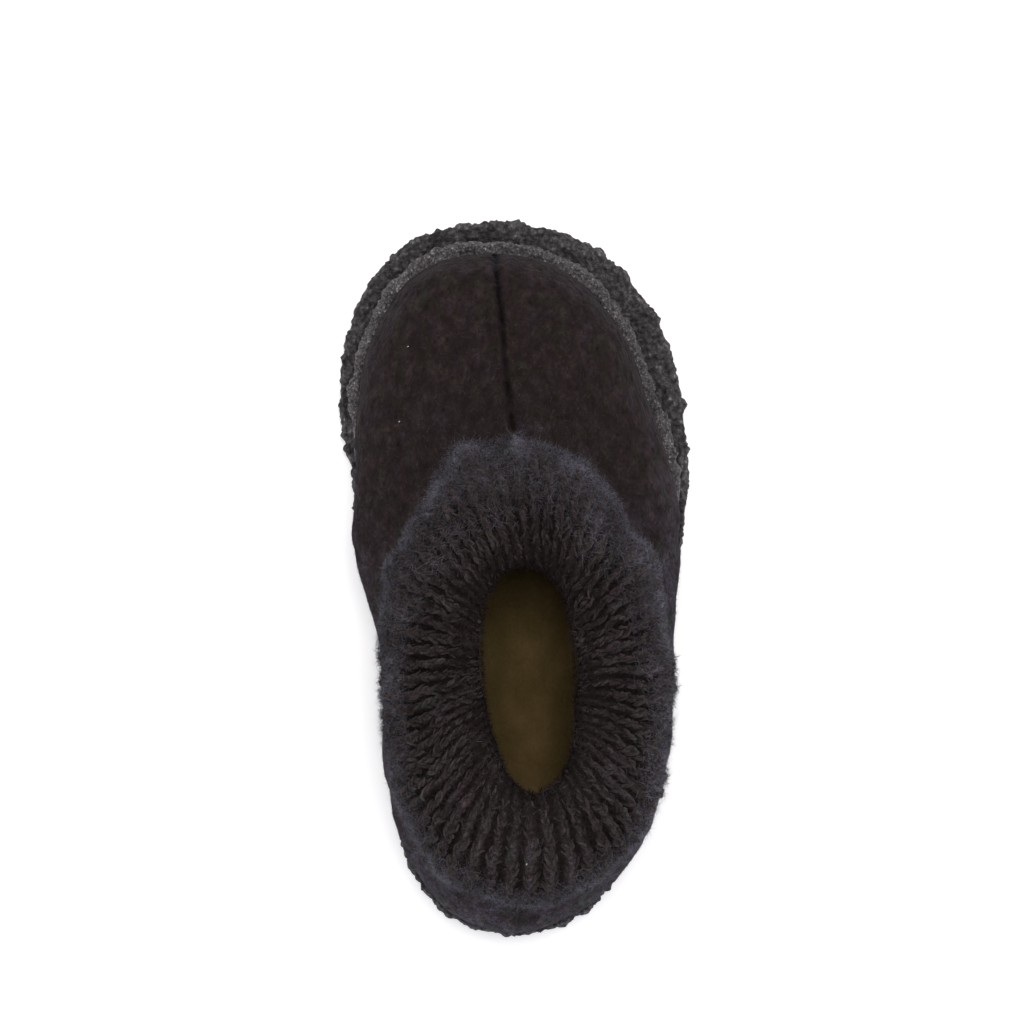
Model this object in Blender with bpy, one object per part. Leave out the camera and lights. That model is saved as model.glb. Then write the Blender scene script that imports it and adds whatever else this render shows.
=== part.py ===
"""A small child's right-foot house slipper, in metres. +Y is towards the toe, +X to the outer side and +Z up.

The upper is one hollow wall of boiled wool felt, closed over the toes, open at the ankle and underneath. A
ribbed cuff, knitted in one piece, stands on its top edge and draws in to a narrow mouth. A felt insole lies
inside, and a crepe rubber outsole with a separate crepe rand closes the slipper below. The origin is under
the middle of the whole.
"""

import math

import bmesh
import bpy
import numpy as np

# Driving sizes
SOLE_LENGTH = 0.160
BALL_WIDTH = 0.0777
SOLE_THICKNESS = 0.006
TOE_SPRING = 0.0045
ARCH_LIFT = 0.0012
SOLE_EDGE_ROUND = 0.0012
INSTEP_HEIGHT = 0.047
HEEL_HEIGHT = 0.043
QUARTER_HEIGHT = 0.0415
FELT_WALL = 0.0028
LEDGE = 0.0040
SWELL = 0.0036
RAND_WALL = 0.0030
RAND_HEIGHT = 0.0095
RAND_TOE_RISE = 0.0015
SEAM_DEPTH = 0.0009
SEAM_WIDTH = 0.0024
SEAM_RUNOUT = 0.0040
INSOLE_THICKNESS = 0.0030
INSOLE_EDGE_ROUND = 0.0008
CUFF_WALL = 0.0042
CUFF_RISE = 0.0195
CUFF_SWELL = 0.0032
CUFF_RIBS = 64
RIB_HEIGHT = 0.0011
GAP = 0.0003
INSOLE_GAP = 0.0006

UP = np.array([0.0, 0.0, 1.0])

# Places along the sole, as shares of its length from the heel
ARCH_START = 0.31
ARCH_END = 0.575
TOE_SPRING_START = 0.74

# Share of the cuff's section over which its ribs rise from the seam
RIB_FADE = 0.25

# How finely the surfaces are divided
AROUND = 80
UPPER_LEVELS = 11
UPPER_LINING_LEVELS = 7
CUFF_LEVELS = 8
CUFF_LINING_LEVELS = 5
CROSS_LINES = 7
FINE_STEPS = 720

# The last, a row for each section round the sole from the toe by the outer side, the heel and the inner side.
# along: share of the sole's length from the heel. across: share of half the ball's width, + outwards.
# ledge: share of LEDGE. reach: share round the top line at which the section ends. swell: share of SWELL.
# shoulder: share of the rise that the wall stands before it leans in. crown and drop: how far the wall's
# last stretch reaches back out of the top line and down from it, as shares of the section's run and rise.
SECTION_COLUMNS = ("along", "across", "ledge", "reach", "swell", "shoulder", "crown", "drop")
SECTIONS = (
    (1.000, -0.135, 1.00, 0.000, 0.00, 0.82, 0.62, 0.12),  # toe
    (0.965, 0.430, 1.20, 0.026, 0.00, 0.80, 0.62, 0.13),
    (0.885, 0.755, 1.40, 0.052, 0.00, 0.74, 0.62, 0.15),
    (0.770, 0.940, 1.25, 0.088, 0.15, 0.66, 0.60, 0.18),
    (0.640, 0.985, 0.35, 0.124, 0.80, 0.56, 0.58, 0.24),  # ball, outer side
    (0.545, 0.945, 0.10, 0.163, 1.15, 0.50, 0.54, 0.30),
    (0.440, 0.860, 0.00, 0.218, 1.05, 0.46, 0.48, 0.34),
    (0.270, 0.820, 0.00, 0.318, 1.00, 0.42, 0.30, 0.34),  # heel, outer side
    (0.120, 0.650, 0.15, 0.403, 0.90, 0.44, 0.35, 0.34),
    (0.030, 0.370, 0.25, 0.455, 0.95, 0.46, 0.40, 0.34),
    (0.000, -0.030, 0.30, 0.502, 1.15, 0.48, 0.45, 0.34),  # back of the heel
    (0.030, -0.415, 0.35, 0.550, 1.10, 0.46, 0.42, 0.34),
    (0.115, -0.660, 0.35, 0.600, 1.00, 0.44, 0.40, 0.34),
    (0.265, -0.730, 0.10, 0.683, 1.00, 0.42, 0.35, 0.34),  # heel, inner side
    (0.430, -0.785, 0.00, 0.778, 0.85, 0.46, 0.50, 0.34),
    (0.535, -0.915, 0.00, 0.833, 1.30, 0.50, 0.53, 0.30),
    (0.620, -0.950, 0.05, 0.880, 1.30, 0.54, 0.55, 0.26),
    (0.720, -1.020, 0.20, 0.921, 0.90, 0.60, 0.58, 0.22),  # ball, inner side
    (0.865, -0.965, 0.85, 0.957, 0.10, 0.72, 0.62, 0.16),
    (0.965, -0.670, 0.95, 0.979, 0.00, 0.80, 0.62, 0.13),
)

# The top line of the felt, from the front by the outer side. Its height is QUARTER_HEIGHT, and instep and
# heel are the shares of the way from there to INSTEP_HEIGHT and HEEL_HEIGHT.
TOP_COLUMNS = ("along", "across", "instep", "heel")
TOP_LINE = (
    (0.681, -0.023, 1.00, 0.00),  # front
    (0.664, 0.291, 0.80, 0.00),
    (0.624, 0.457, 0.58, 0.00),
    (0.540, 0.668, 0.24, 0.00),
    (0.420, 0.785, 0.00, 0.00),
    (0.280, 0.790, 0.00, 0.10),  # outer side
    (0.167, 0.670, 0.00, 0.55),
    (0.105, 0.380, 0.00, 0.95),
    (0.082, 0.015, 0.00, 1.00),  # back
    (0.105, -0.350, 0.00, 0.95),
    (0.167, -0.582, 0.00, 0.55),
    (0.280, -0.698, 0.00, 0.10),  # inner side
    (0.420, -0.724, 0.00, 0.00),
    (0.540, -0.648, 0.24, 0.00),
    (0.620, -0.470, 0.58, 0.00),
    (0.665, -0.290, 0.80, 0.00),
)

# The mouth of the cuff, whose rows face those of the top line. lift: share of CUFF_RISE, over the top line's
# mean height.
MOUTH_COLUMNS = ("along", "across", "lift")
MOUTH = (
    (0.522, 0.060, 1.00),  # front
    (0.510, 0.165, 1.00),
    (0.485, 0.236, 0.98),
    (0.440, 0.282, 0.95),
    (0.375, 0.302, 0.92),
    (0.310, 0.298, 0.92),  # outer side
    (0.262, 0.262, 0.95),
    (0.235, 0.175, 1.00),
    (0.226, 0.070, 1.02),  # back
    (0.238, -0.025, 1.00),
    (0.268, -0.095, 0.95),
    (0.325, -0.160, 0.92),  # inner side
    (0.390, -0.192, 0.92),
    (0.450, -0.190, 0.95),
    (0.495, -0.140, 0.98),
    (0.517, -0.050, 1.00),
)

# The rand's own section, round from the foot of its inner face. height: share of its height. out: share of
# RAND_WALL.
RAND_COLUMNS = ("height", "out")
RAND_PROFILE = (
    (0.00, 0.00),
    (0.50, 0.00),
    (1.00, 0.00),
    (1.00, 0.55),
    (0.92, 0.95),
    (0.66, 1.05),  # lip
    (0.40, 0.86),
    (0.00, 1.00),
)

# Finishes: colour, roughness
FELT = ((0.020, 0.017, 0.017), 0.95)
KNIT = ((0.018, 0.016, 0.018), 0.95)
CREPE = ((0.035, 0.033, 0.036), 0.80)
RAND_CREPE = ((0.060, 0.056, 0.058), 0.75)
INSOLE_FELT = ((0.200, 0.130, 0.045), 0.90)


def clear_scene():
    for obj in list(bpy.data.objects):
        bpy.data.objects.remove(obj, do_unlink=True)


def closed_spline(knots, values, at):
    """The smooth closed curve through the values at the knots, which run from 0 to below 1, at shares."""
    count = len(knots)
    step = np.diff(np.append(knots, 1.0))
    following = np.roll(values, -1, axis=0)
    slope = (following - values) / step[:, None]
    matrix = np.zeros((count, count))
    for i in range(count):
        matrix[i, i - 1] += step[i - 1]
        matrix[i, i] += 2 * (step[i - 1] + step[i])
        matrix[i, (i + 1) % count] += step[i]
    bend = np.linalg.solve(matrix, 6 * (slope - np.roll(slope, 1, axis=0)))
    at = np.mod(at, 1.0)
    left = np.searchsorted(knots, at, side="right") - 1
    right = (left + 1) % count
    length = step[left][:, None]
    b = ((at - knots[left])[:, None]) / length
    a = 1 - b
    curved = ((a**3 - a) * bend[left] + (b**3 - b) * bend[right]) * length**2 / 6
    return a * values[left] + b * values[right] + curved


def chord_knots(points):
    """Each row's share of the way round, by the straight distance from row to row."""
    steps = np.linalg.norm(np.roll(points, -1, axis=0) - points, axis=1)
    return np.concatenate([[0.0], np.cumsum(steps)[:-1]]) / steps.sum()


def unit(vectors):
    return vectors / np.linalg.norm(vectors, axis=-1, keepdims=True)


def columns(names, table):
    return dict(zip(names, np.array(table).T))


def plan(rows):
    """Places seen from above, in metres from the middle of the heel's back."""
    return np.stack([rows["across"] * BALL_WIDTH / 2, rows["along"] * SOLE_LENGTH], axis=1)


def sections_at(at):
    """The last's columns at the shares given. Reach is read as its lead over the way round the sole."""
    knots = chord_knots(plan(columns(SECTION_COLUMNS, SECTIONS)))
    values = np.array(SECTIONS)
    reach = SECTION_COLUMNS.index("reach")
    values[:, reach] -= knots
    read = closed_spline(knots, values, at)
    read[:, reach] += at
    return columns(SECTION_COLUMNS, read)


def outward(ring):
    """The level normals of a closed ring that runs by the outer side, seen from above."""
    along = np.roll(ring[:, :2], -1, axis=0) - np.roll(ring[:, :2], 1, axis=0)
    return unit(np.stack([-along[:, 1], along[:, 0]], axis=1))


def around():
    """Where the meshes have their lines round the shoe. Two more flank the front seam."""
    shares = np.arange(AROUND) / AROUND
    girth = 2 * (SOLE_LENGTH + BALL_WIDTH)
    flank = 1.5 * SEAM_WIDTH / girth
    return np.sort(np.concatenate([shares, [flank, 1 - flank]]))


def sole_edge(at):
    return plan(sections_at(at))


def felt_foot(at):
    """The outside of the felt where it stands on the sole, seen from above."""
    edge = sole_edge(at)
    inset = sections_at(at)["ledge"] * LEDGE + RAND_WALL + GAP
    return edge - outward(edge) * inset[:, None]


def ring_by_length(knots, values, shares):
    """Points of a closed curve at shares of its length."""
    fine = np.linspace(0, 1, FINE_STEPS + 1)
    points = closed_spline(knots, values, fine[:-1])
    points = np.vstack([points, points[:1]])
    walked = np.concatenate([[0.0], np.cumsum(np.linalg.norm(np.diff(points, axis=0), axis=1))])
    where = np.interp(np.mod(shares, 1.0) * walked[-1], walked, fine)
    return closed_spline(knots, values, where)


def top_line(shares):
    rows = columns(TOP_COLUMNS, TOP_LINE)
    over_instep = rows["instep"] * (INSTEP_HEIGHT - QUARTER_HEIGHT)
    over_heel = rows["heel"] * (HEEL_HEIGHT - QUARTER_HEIGHT)
    points = np.column_stack([plan(rows), QUARTER_HEIGHT + over_instep + over_heel])
    return ring_by_length(chord_knots(points), points, shares)


def mouth(shares):
    rows = columns(MOUTH_COLUMNS, MOUTH)
    base = (INSTEP_HEIGHT + QUARTER_HEIGHT) / 2
    points = np.column_stack([plan(rows), base + rows["lift"] * CUFF_RISE])
    return ring_by_length(chord_knots(points), points, shares)


def bezier(controls, t):
    """Points at t on cubic curves, for controls of four (n, 3) arrays and t of shape (n, m)."""
    t = t[:, :, None]
    first, second, third, last = (c[:, None, :] for c in controls)
    return (1 - t) ** 3 * first + 3 * (1 - t) ** 2 * t * second + 3 * (1 - t) * t**2 * third + t**3 * last


def level(vectors):
    """Level vectors of length 1 in three dimensions."""
    flat = np.column_stack([vectors[:, :2], np.zeros(len(vectors))])
    return unit(flat)


def felt_controls(at):
    """The four control points of each section's curve, from the sole up to the top line."""
    shape = sections_at(at)
    foot = felt_foot(at)
    base = np.column_stack([foot, np.full(len(foot), SOLE_THICKNESS + GAP)])
    top = top_line(shape["reach"])
    rise = (top - base)[:, 2]
    run = np.linalg.norm((top - base)[:, :2], axis=1)
    shoulder = base + UP * (shape["shoulder"] * rise)[:, None]
    crown = top + level(base - top) * (shape["crown"] * run)[:, None] - UP * (shape["drop"] * rise)[:, None]
    return base, shoulder, crown, top


def felt_form(at, t):
    """The felt's outside without its seam. Above the rand it swells out past its own foot."""
    foot = felt_foot(at)
    out = np.column_stack([outward(foot), np.zeros(len(foot))])
    swell = (sections_at(at)["swell"] * SWELL)[:, None] * np.sin(math.pi * t**1.3) ** 2
    return bezier(felt_controls(at), t) + out[:, None] * swell[:, :, None]


def normals(grid):
    """Outward normals of a grid of points. Its first axis runs round the shoe and its second up it."""
    ahead = np.roll(grid, -1, axis=0) - np.roll(grid, 1, axis=0)
    upwards = np.gradient(grid, axis=1)
    return unit(np.cross(upwards, ahead))


def seam_hollow(grid, at):
    """How deep the front seam draws the felt in: a soft valley down the front centre line, above the rand."""
    front = (at < 0.25) | (at > 0.75)
    centre = grid[np.argmin(at)]
    reach = np.linalg.norm(grid - centre[None], axis=2)
    above = np.clip((grid[:, :, 2] - SOLE_THICKNESS - RAND_HEIGHT) / SEAM_RUNOUT, 0, 1)
    return SEAM_DEPTH * np.exp(-((reach / (SEAM_WIDTH / 2)) ** 2)) * above * front[:, None]


def felt_skin(at, t):
    grid = felt_form(at, t)
    return grid - normals(grid) * seam_hollow(grid, at)[:, :, None]


def towards_toe(y):
    """How far a place is into the toe spring, from 0 where it starts to 1 at the toe."""
    return np.clip((y / SOLE_LENGTH - TOE_SPRING_START) / (1 - TOE_SPRING_START), 0, None)


def lift(points):
    """Toe spring: the front of the shoe rises in an easy curve."""
    raised = points.copy()
    raised[..., 2] += TOE_SPRING * towards_toe(points[..., 1]) ** 2
    return raised


def arch(y):
    """How far the underside stands off the floor under the waist."""
    share = np.clip((y / SOLE_LENGTH - ARCH_START) / (ARCH_END - ARCH_START), 0, 1)
    return ARCH_LIFT * np.sin(math.pi * share) ** 2


def material(name, finish):
    colour, roughness = finish
    made = bpy.data.materials.new(name)
    made.use_nodes = True
    shader = made.node_tree.nodes["Principled BSDF"]
    shader.inputs["Base Color"].default_value = (*colour, 1)
    shader.inputs["Roughness"].default_value = roughness
    shader.inputs["Metallic"].default_value = 0.0
    return made


def add_object(name, mesh, finish, collection):
    mesh.materials.append(material(name + "_finish", finish))
    obj = bpy.data.objects.new(name, mesh)
    collection.objects.link(obj)
    return obj


def ring_solid(name, loops, finish, collection):
    """A closed ring of material from loops[i, j]: i runs round the shoe, and j round the wall's section."""
    rounds, steps = loops.shape[:2]
    shell = bmesh.new()
    points = [[shell.verts.new(loops[i, j]) for j in range(steps)] for i in range(rounds)]
    for i in range(rounds):
        after = (i + 1) % rounds
        for j in range(steps):
            up = (j + 1) % steps
            shell.faces.new((points[i][j], points[after][j], points[after][up], points[i][up]))
    bmesh.ops.recalc_face_normals(shell, faces=shell.faces)
    mesh = bpy.data.meshes.new(name)
    shell.to_mesh(mesh)
    shell.free()
    mesh.shade_smooth()
    mesh.set_sharp_from_angle(angle=math.radians(40))
    return add_object(name, mesh, finish, collection)


def slab(name, edge_rings, under, finish, collection):
    """A flat piece from rings of points up its edge. Cross lines cut both faces where they bend."""
    body = bmesh.new()
    rings = [[body.verts.new(point) for point in ring] for ring in edge_rings]
    count = len(rings[0])
    for low, high in zip(rings, rings[1:]):
        for i in range(count):
            after = (i + 1) % count
            body.faces.new((low[i], low[after], high[after], high[i]))
    body.faces.new(rings[0])
    body.faces.new(rings[-1])
    arch_lines = np.linspace(ARCH_START, ARCH_END, CROSS_LINES)
    spring_lines = np.linspace(TOE_SPRING_START, 1, CROSS_LINES + 1)[:-1]
    for share in [*arch_lines, *spring_lines]:
        parts = [*body.verts, *body.edges, *body.faces]
        place = (0, share * SOLE_LENGTH, 0)
        bmesh.ops.bisect_plane(body, geom=parts, dist=1e-6, plane_co=place, plane_no=(0, 1, 0))
    for vertex in body.verts:
        point = np.array(vertex.co)
        if under and point[2] < SOLE_THICKNESS / 2:
            point[2] += arch(point[1]) * (1 - point[2] / (SOLE_THICKNESS / 2))
        vertex.co = lift(point)
    bmesh.ops.recalc_face_normals(body, faces=body.faces)
    mesh = bpy.data.meshes.new(name)
    body.to_mesh(mesh)
    body.free()
    return add_object(name, mesh, finish, collection)


def edge_ring(edge, inset, z):
    return np.column_stack([edge - outward(edge) * inset, np.full(len(edge), z)])


def build_outsole(collection):
    """Crepe rubber: an upright edge, rounded off, with flat treads under heel and forefoot."""
    edge = sole_edge(around())
    rounding = SOLE_EDGE_ROUND
    profile = (
        (rounding, 0.0),
        (0.3 * rounding, 0.35 * rounding),
        (0.0, 1.2 * rounding),
        (0.0, SOLE_THICKNESS - rounding),
        (0.7 * rounding, SOLE_THICKNESS),
    )
    rings = [edge_ring(edge, inset, z) for inset, z in profile]
    return slab("outsole", rings, True, CREPE, collection)


def build_insole(collection):
    """Felt insole, cut to the inside of the upper, with its top edge rounded."""
    at = around()
    foot = felt_foot(at)
    inside = foot - outward(foot) * (FELT_WALL + INSOLE_GAP)
    low = SOLE_THICKNESS + GAP
    high = low + INSOLE_THICKNESS
    profile = ((0.0, low), (0.0, high - INSOLE_EDGE_ROUND), (INSOLE_EDGE_ROUND, high))
    rings = [edge_ring(inside, inset, z) for inset, z in profile]
    return slab("insole", rings, False, INSOLE_FELT, collection)


def build_upper(collection):
    """The felt wall: its outside up from the sole to the top line, then its inside back down."""
    at = around()
    t = np.linspace(0, 1, UPPER_LEVELS) ** 0.9
    outside = felt_skin(at, np.tile(t, (len(at), 1)))
    lining_t = np.linspace(0, 1, UPPER_LINING_LEVELS) ** 0.9
    skin = felt_form(at, np.tile(lining_t, (len(at), 1)))
    into = normals(skin)
    into[:, 0] = level(into[:, 0])
    inside = skin - into * FELT_WALL
    loops = np.concatenate([outside, inside[:, ::-1]], axis=1)
    return ring_solid("upper", lift(loops), FELT, collection)


def build_rand(collection):
    """The crepe strip round the foot of the felt. It follows the felt and ends in a thick, round lip."""
    at = around()
    fine = np.tile(np.linspace(0, 1, FINE_STEPS // 6), (len(at), 1))
    skin = felt_form(at, fine)
    top = SOLE_THICKNESS + RAND_HEIGHT + RAND_TOE_RISE * towards_toe(skin[:, 0, 1])
    low = SOLE_THICKNESS + GAP
    section = columns(RAND_COLUMNS, RAND_PROFILE)
    heights = low + section["height"][None, :] * (top - low)[:, None]
    t = np.array([np.interp(heights[i], skin[i, :, 2], fine[i]) for i in range(len(at))])
    wall = felt_form(at, t)
    away = np.stack([outward(wall[:, j]) for j in range(wall.shape[1])], axis=1)
    away = np.concatenate([away, np.zeros(away.shape[:2] + (1,))], axis=2)
    thickness = GAP + section["out"] * RAND_WALL
    return ring_solid("rand", lift(wall + away * thickness[None, :, None]), RAND_CREPE, collection)


def cuff_skin(shares, t):
    """The outside of the cuff between its ribs, up from the felt's top edge and over to the mouth."""
    top = top_line(shares)
    rim = mouth(shares)
    out = level(top - rim)
    seam_out = np.column_stack([outward(top), np.zeros(len(top))])
    base = top + UP * GAP
    rise = (rim - base)[:, 2]
    run = np.linalg.norm((rim - base)[:, :2], axis=1)
    crest = rim + out * CUFF_WALL * 0.5
    shoulder = base + seam_out * CUFF_SWELL + UP * (0.62 * rise)[:, None]
    crown = crest + out * (0.42 * run)[:, None] + UP * (0.10 * rise)[:, None]
    return bezier((base, shoulder, crown, crest), t)


def build_cuff(collection):
    """The ribbed cuff, one knitted wall with its ribs raised, rolled over at the mouth."""
    shares = np.arange(2 * CUFF_RIBS) / (2 * CUFF_RIBS)
    t = np.tile(np.linspace(0, 1, CUFF_LEVELS), (len(shares), 1))
    skin = cuff_skin(shares, t)
    away = normals(skin)
    ridges = np.where(np.arange(len(shares)) % 2 == 0, RIB_HEIGHT, 0.0)[:, None]
    outside = skin + away * (ridges * np.clip(t / RIB_FADE, 0, 1))[:, :, None]
    lining_t = np.tile(np.linspace(0, 1, CUFF_LINING_LEVELS), (len(shares), 1))
    lining_skin = cuff_skin(shares, lining_t)
    inside = lining_skin - normals(lining_skin) * CUFF_WALL
    middle = skin[:, -1] - away[:, -1] * CUFF_WALL / 2
    onward = unit(skin[:, -1] - skin[:, -2])
    lip = []
    for turn in (0.33, 0.67):
        angle = math.pi * turn
        radius = CUFF_WALL / 2
        lip.append(middle + away[:, -1] * math.cos(angle) * radius + onward * math.sin(angle) * radius)
    loops = np.concatenate([outside, np.stack(lip, axis=1), inside[:, ::-1]], axis=1)
    return ring_solid("cuff", lift(loops), KNIT, collection)


def stand_over_origin(parts):
    """Moves every piece alike, so that the origin is under the middle of the whole, on the floor."""
    corners = [np.array(vertex.co) for obj in parts for vertex in obj.data.vertices]
    low, high = np.min(corners, axis=0), np.max(corners, axis=0)
    middle = (low + high) / 2
    for obj in parts:
        obj.location = (-middle[0], -middle[1], -low[2])


def main():
    clear_scene()
    collection = bpy.data.collections.new("slipper")
    bpy.context.scene.collection.children.link(collection)
    builders = (build_outsole, build_rand, build_insole, build_upper, build_cuff)
    stand_over_origin([build(collection) for build in builders])


main()
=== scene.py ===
"""Looks of a small child's right-foot house slipper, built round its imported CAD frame, in metres.

Every soft piece follows the same last as the solids: a table of sections round the sole. Boiled felt, rib
knit, crepe crumb and nap are all mesh on those forms, and the node materials only add what is finer.
"""

import itertools
import math

import bpy
import numpy as np
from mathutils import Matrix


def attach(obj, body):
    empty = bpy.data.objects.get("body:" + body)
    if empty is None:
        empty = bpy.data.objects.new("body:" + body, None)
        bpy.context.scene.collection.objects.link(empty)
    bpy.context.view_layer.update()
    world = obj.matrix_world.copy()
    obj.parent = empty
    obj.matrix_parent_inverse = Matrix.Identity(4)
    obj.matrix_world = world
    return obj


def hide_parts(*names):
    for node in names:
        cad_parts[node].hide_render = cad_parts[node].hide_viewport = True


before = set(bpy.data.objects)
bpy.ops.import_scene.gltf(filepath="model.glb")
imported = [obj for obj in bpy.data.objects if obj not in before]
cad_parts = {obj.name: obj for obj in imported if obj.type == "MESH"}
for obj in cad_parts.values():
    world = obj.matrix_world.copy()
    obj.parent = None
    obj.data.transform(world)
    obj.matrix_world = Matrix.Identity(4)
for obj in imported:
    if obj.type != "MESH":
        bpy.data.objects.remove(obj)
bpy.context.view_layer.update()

# Sizes of the shoe, as in the solids
SOLE_LENGTH = 0.160
BALL_WIDTH = 0.0777
SOLE_THICKNESS = 0.006
TOE_SPRING = 0.0045
ARCH_LIFT = 0.0012
SOLE_EDGE_ROUND = 0.0012
INSTEP_HEIGHT = 0.047
HEEL_HEIGHT = 0.043
QUARTER_HEIGHT = 0.0415
FELT_WALL = 0.0028
LEDGE = 0.0040
SWELL = 0.0036
RAND_WALL = 0.0030
RAND_HEIGHT = 0.0095
RAND_TOE_RISE = 0.0015
INSOLE_THICKNESS = 0.0030
INSOLE_EDGE_ROUND = 0.0008
INSOLE_GAP = 0.0006
CUFF_WALL = 0.0042
CUFF_RISE = 0.0195
CUFF_SWELL = 0.0032
CUFF_RIBS = 64
RIB_HEIGHT = 0.0011
GAP = 0.0003

ARCH_START = 0.31
ARCH_END = 0.575
TOE_SPRING_START = 0.74

UP = np.array([0.0, 0.0, 1.0])
TURN = 2 * math.pi

# The camera of the photograph: straight above, with the toe at the top of the picture
CAMERA_PLACE = (-0.00047, 0.01512, 1.0)
CAMERA_LENS = 156.45
CAMERA_SENSOR = 36.0
PICTURE_SIZE = 1024

# The front seam of the felt
SEAM_DEPTH = 0.0005
SEAM_WIDTH = 0.0024
SEAM_SLIT_DEPTH = 0.0008
SEAM_SLIT_WIDTH = 0.0007
SEAM_RUNOUT = 0.0040

# The last, a row for each section round the sole from the toe by the outer side, the heel and the inner side.
# along: share of the sole's length from the heel. across: share of half the ball's width, + outwards.
# ledge: share of LEDGE. reach: share round the top line at which the section ends. swell: share of SWELL.
# shoulder: share of the rise that the wall stands before it leans in. crown and drop: how far the wall's
# last stretch reaches back out of the top line and down from it, as shares of the section's run and rise.
SECTION_COLUMNS = ("along", "across", "ledge", "reach", "swell", "shoulder", "crown", "drop")
SECTIONS = (
    (1.000, -0.135, 1.00, 0.000, 0.00, 0.82, 0.62, 0.12),  # toe
    (0.965, 0.430, 1.20, 0.026, 0.00, 0.80, 0.62, 0.13),
    (0.885, 0.755, 1.40, 0.052, 0.00, 0.74, 0.62, 0.15),
    (0.770, 0.940, 1.25, 0.088, 0.15, 0.66, 0.60, 0.18),
    (0.640, 0.985, 0.35, 0.124, 0.80, 0.56, 0.58, 0.24),  # ball, outer side
    (0.545, 0.945, 0.10, 0.163, 1.15, 0.50, 0.54, 0.30),
    (0.440, 0.860, 0.00, 0.218, 1.05, 0.46, 0.48, 0.34),
    (0.270, 0.820, 0.00, 0.318, 1.00, 0.42, 0.30, 0.34),  # heel, outer side
    (0.120, 0.650, 0.15, 0.403, 0.90, 0.44, 0.35, 0.34),
    (0.030, 0.370, 0.25, 0.455, 0.95, 0.46, 0.40, 0.34),
    (0.000, -0.030, 0.30, 0.502, 1.15, 0.48, 0.45, 0.34),  # back of the heel
    (0.030, -0.415, 0.35, 0.550, 1.10, 0.46, 0.42, 0.34),
    (0.115, -0.660, 0.35, 0.600, 1.00, 0.44, 0.40, 0.34),
    (0.265, -0.730, 0.10, 0.683, 1.00, 0.42, 0.35, 0.34),  # heel, inner side
    (0.430, -0.785, 0.00, 0.778, 0.85, 0.46, 0.50, 0.34),
    (0.535, -0.915, 0.00, 0.833, 1.30, 0.50, 0.53, 0.30),
    (0.620, -0.950, 0.05, 0.880, 1.30, 0.54, 0.55, 0.26),
    (0.720, -1.020, 0.20, 0.921, 0.90, 0.60, 0.58, 0.22),  # ball, inner side
    (0.865, -0.965, 0.85, 0.957, 0.10, 0.72, 0.62, 0.16),
    (0.965, -0.670, 0.95, 0.979, 0.00, 0.80, 0.62, 0.13),
)

# The top line of the felt, from the front by the outer side
TOP_COLUMNS = ("along", "across", "instep", "heel")
TOP_LINE = (
    (0.681, -0.023, 1.00, 0.00),  # front
    (0.664, 0.291, 0.80, 0.00),
    (0.624, 0.457, 0.58, 0.00),
    (0.540, 0.668, 0.24, 0.00),
    (0.420, 0.785, 0.00, 0.00),
    (0.280, 0.790, 0.00, 0.10),  # outer side
    (0.167, 0.670, 0.00, 0.55),
    (0.105, 0.380, 0.00, 0.95),
    (0.082, 0.015, 0.00, 1.00),  # back
    (0.105, -0.350, 0.00, 0.95),
    (0.167, -0.582, 0.00, 0.55),
    (0.280, -0.698, 0.00, 0.10),  # inner side
    (0.420, -0.724, 0.00, 0.00),
    (0.540, -0.648, 0.24, 0.00),
    (0.620, -0.470, 0.58, 0.00),
    (0.665, -0.290, 0.80, 0.00),
)

# The mouth of the cuff, whose rows face those of the top line
MOUTH_COLUMNS = ("along", "across", "lift")
MOUTH = (
    (0.522, 0.060, 1.00),  # front
    (0.510, 0.165, 1.00),
    (0.485, 0.236, 0.98),
    (0.440, 0.282, 0.95),
    (0.375, 0.302, 0.92),
    (0.310, 0.298, 0.92),  # outer side
    (0.262, 0.262, 0.95),
    (0.235, 0.175, 1.00),
    (0.226, 0.070, 1.02),  # back
    (0.238, -0.025, 1.00),
    (0.268, -0.095, 0.95),
    (0.325, -0.160, 0.92),  # inner side
    (0.390, -0.192, 0.92),
    (0.450, -0.190, 0.95),
    (0.495, -0.140, 0.98),
    (0.517, -0.050, 1.00),
)

# The rand's section, round from the foot of its inner face, as shares of its height and of its wall
RAND_PROFILE = (
    (0.00, 0.00),
    (0.45, 0.00),
    (0.84, 0.00),
    (0.99, 0.03),
    (1.01, 0.38),
    (0.96, 0.78),
    (0.84, 1.02),
    (0.66, 1.05),
    (0.42, 0.86),
    (0.18, 0.84),
    (0.00, 0.95),
)

# How far the rand's inner face is pressed into the felt, and how far the felt's foot is drawn in behind it.
# RAND_SLIM: the share of the rand's wall that is left at the toe, and how much less where the felt covers it.
RAND_PRESS = 0.0003
FELT_TUCK = 0.0006
RAND_SLIM = (0.84, 0.30)

# How far the felt bulges past the solid over the rand, and what is taken off that behind the ball.
# Pairs are for the inner and the outer side.
TOE_BULGE = 0.0009
BALL_BULGE = (0.0012, 0.0008)
WAIST_DRAW = (0.0016, 0.0010)
HEEL_DRAW = 0.0006

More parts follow.
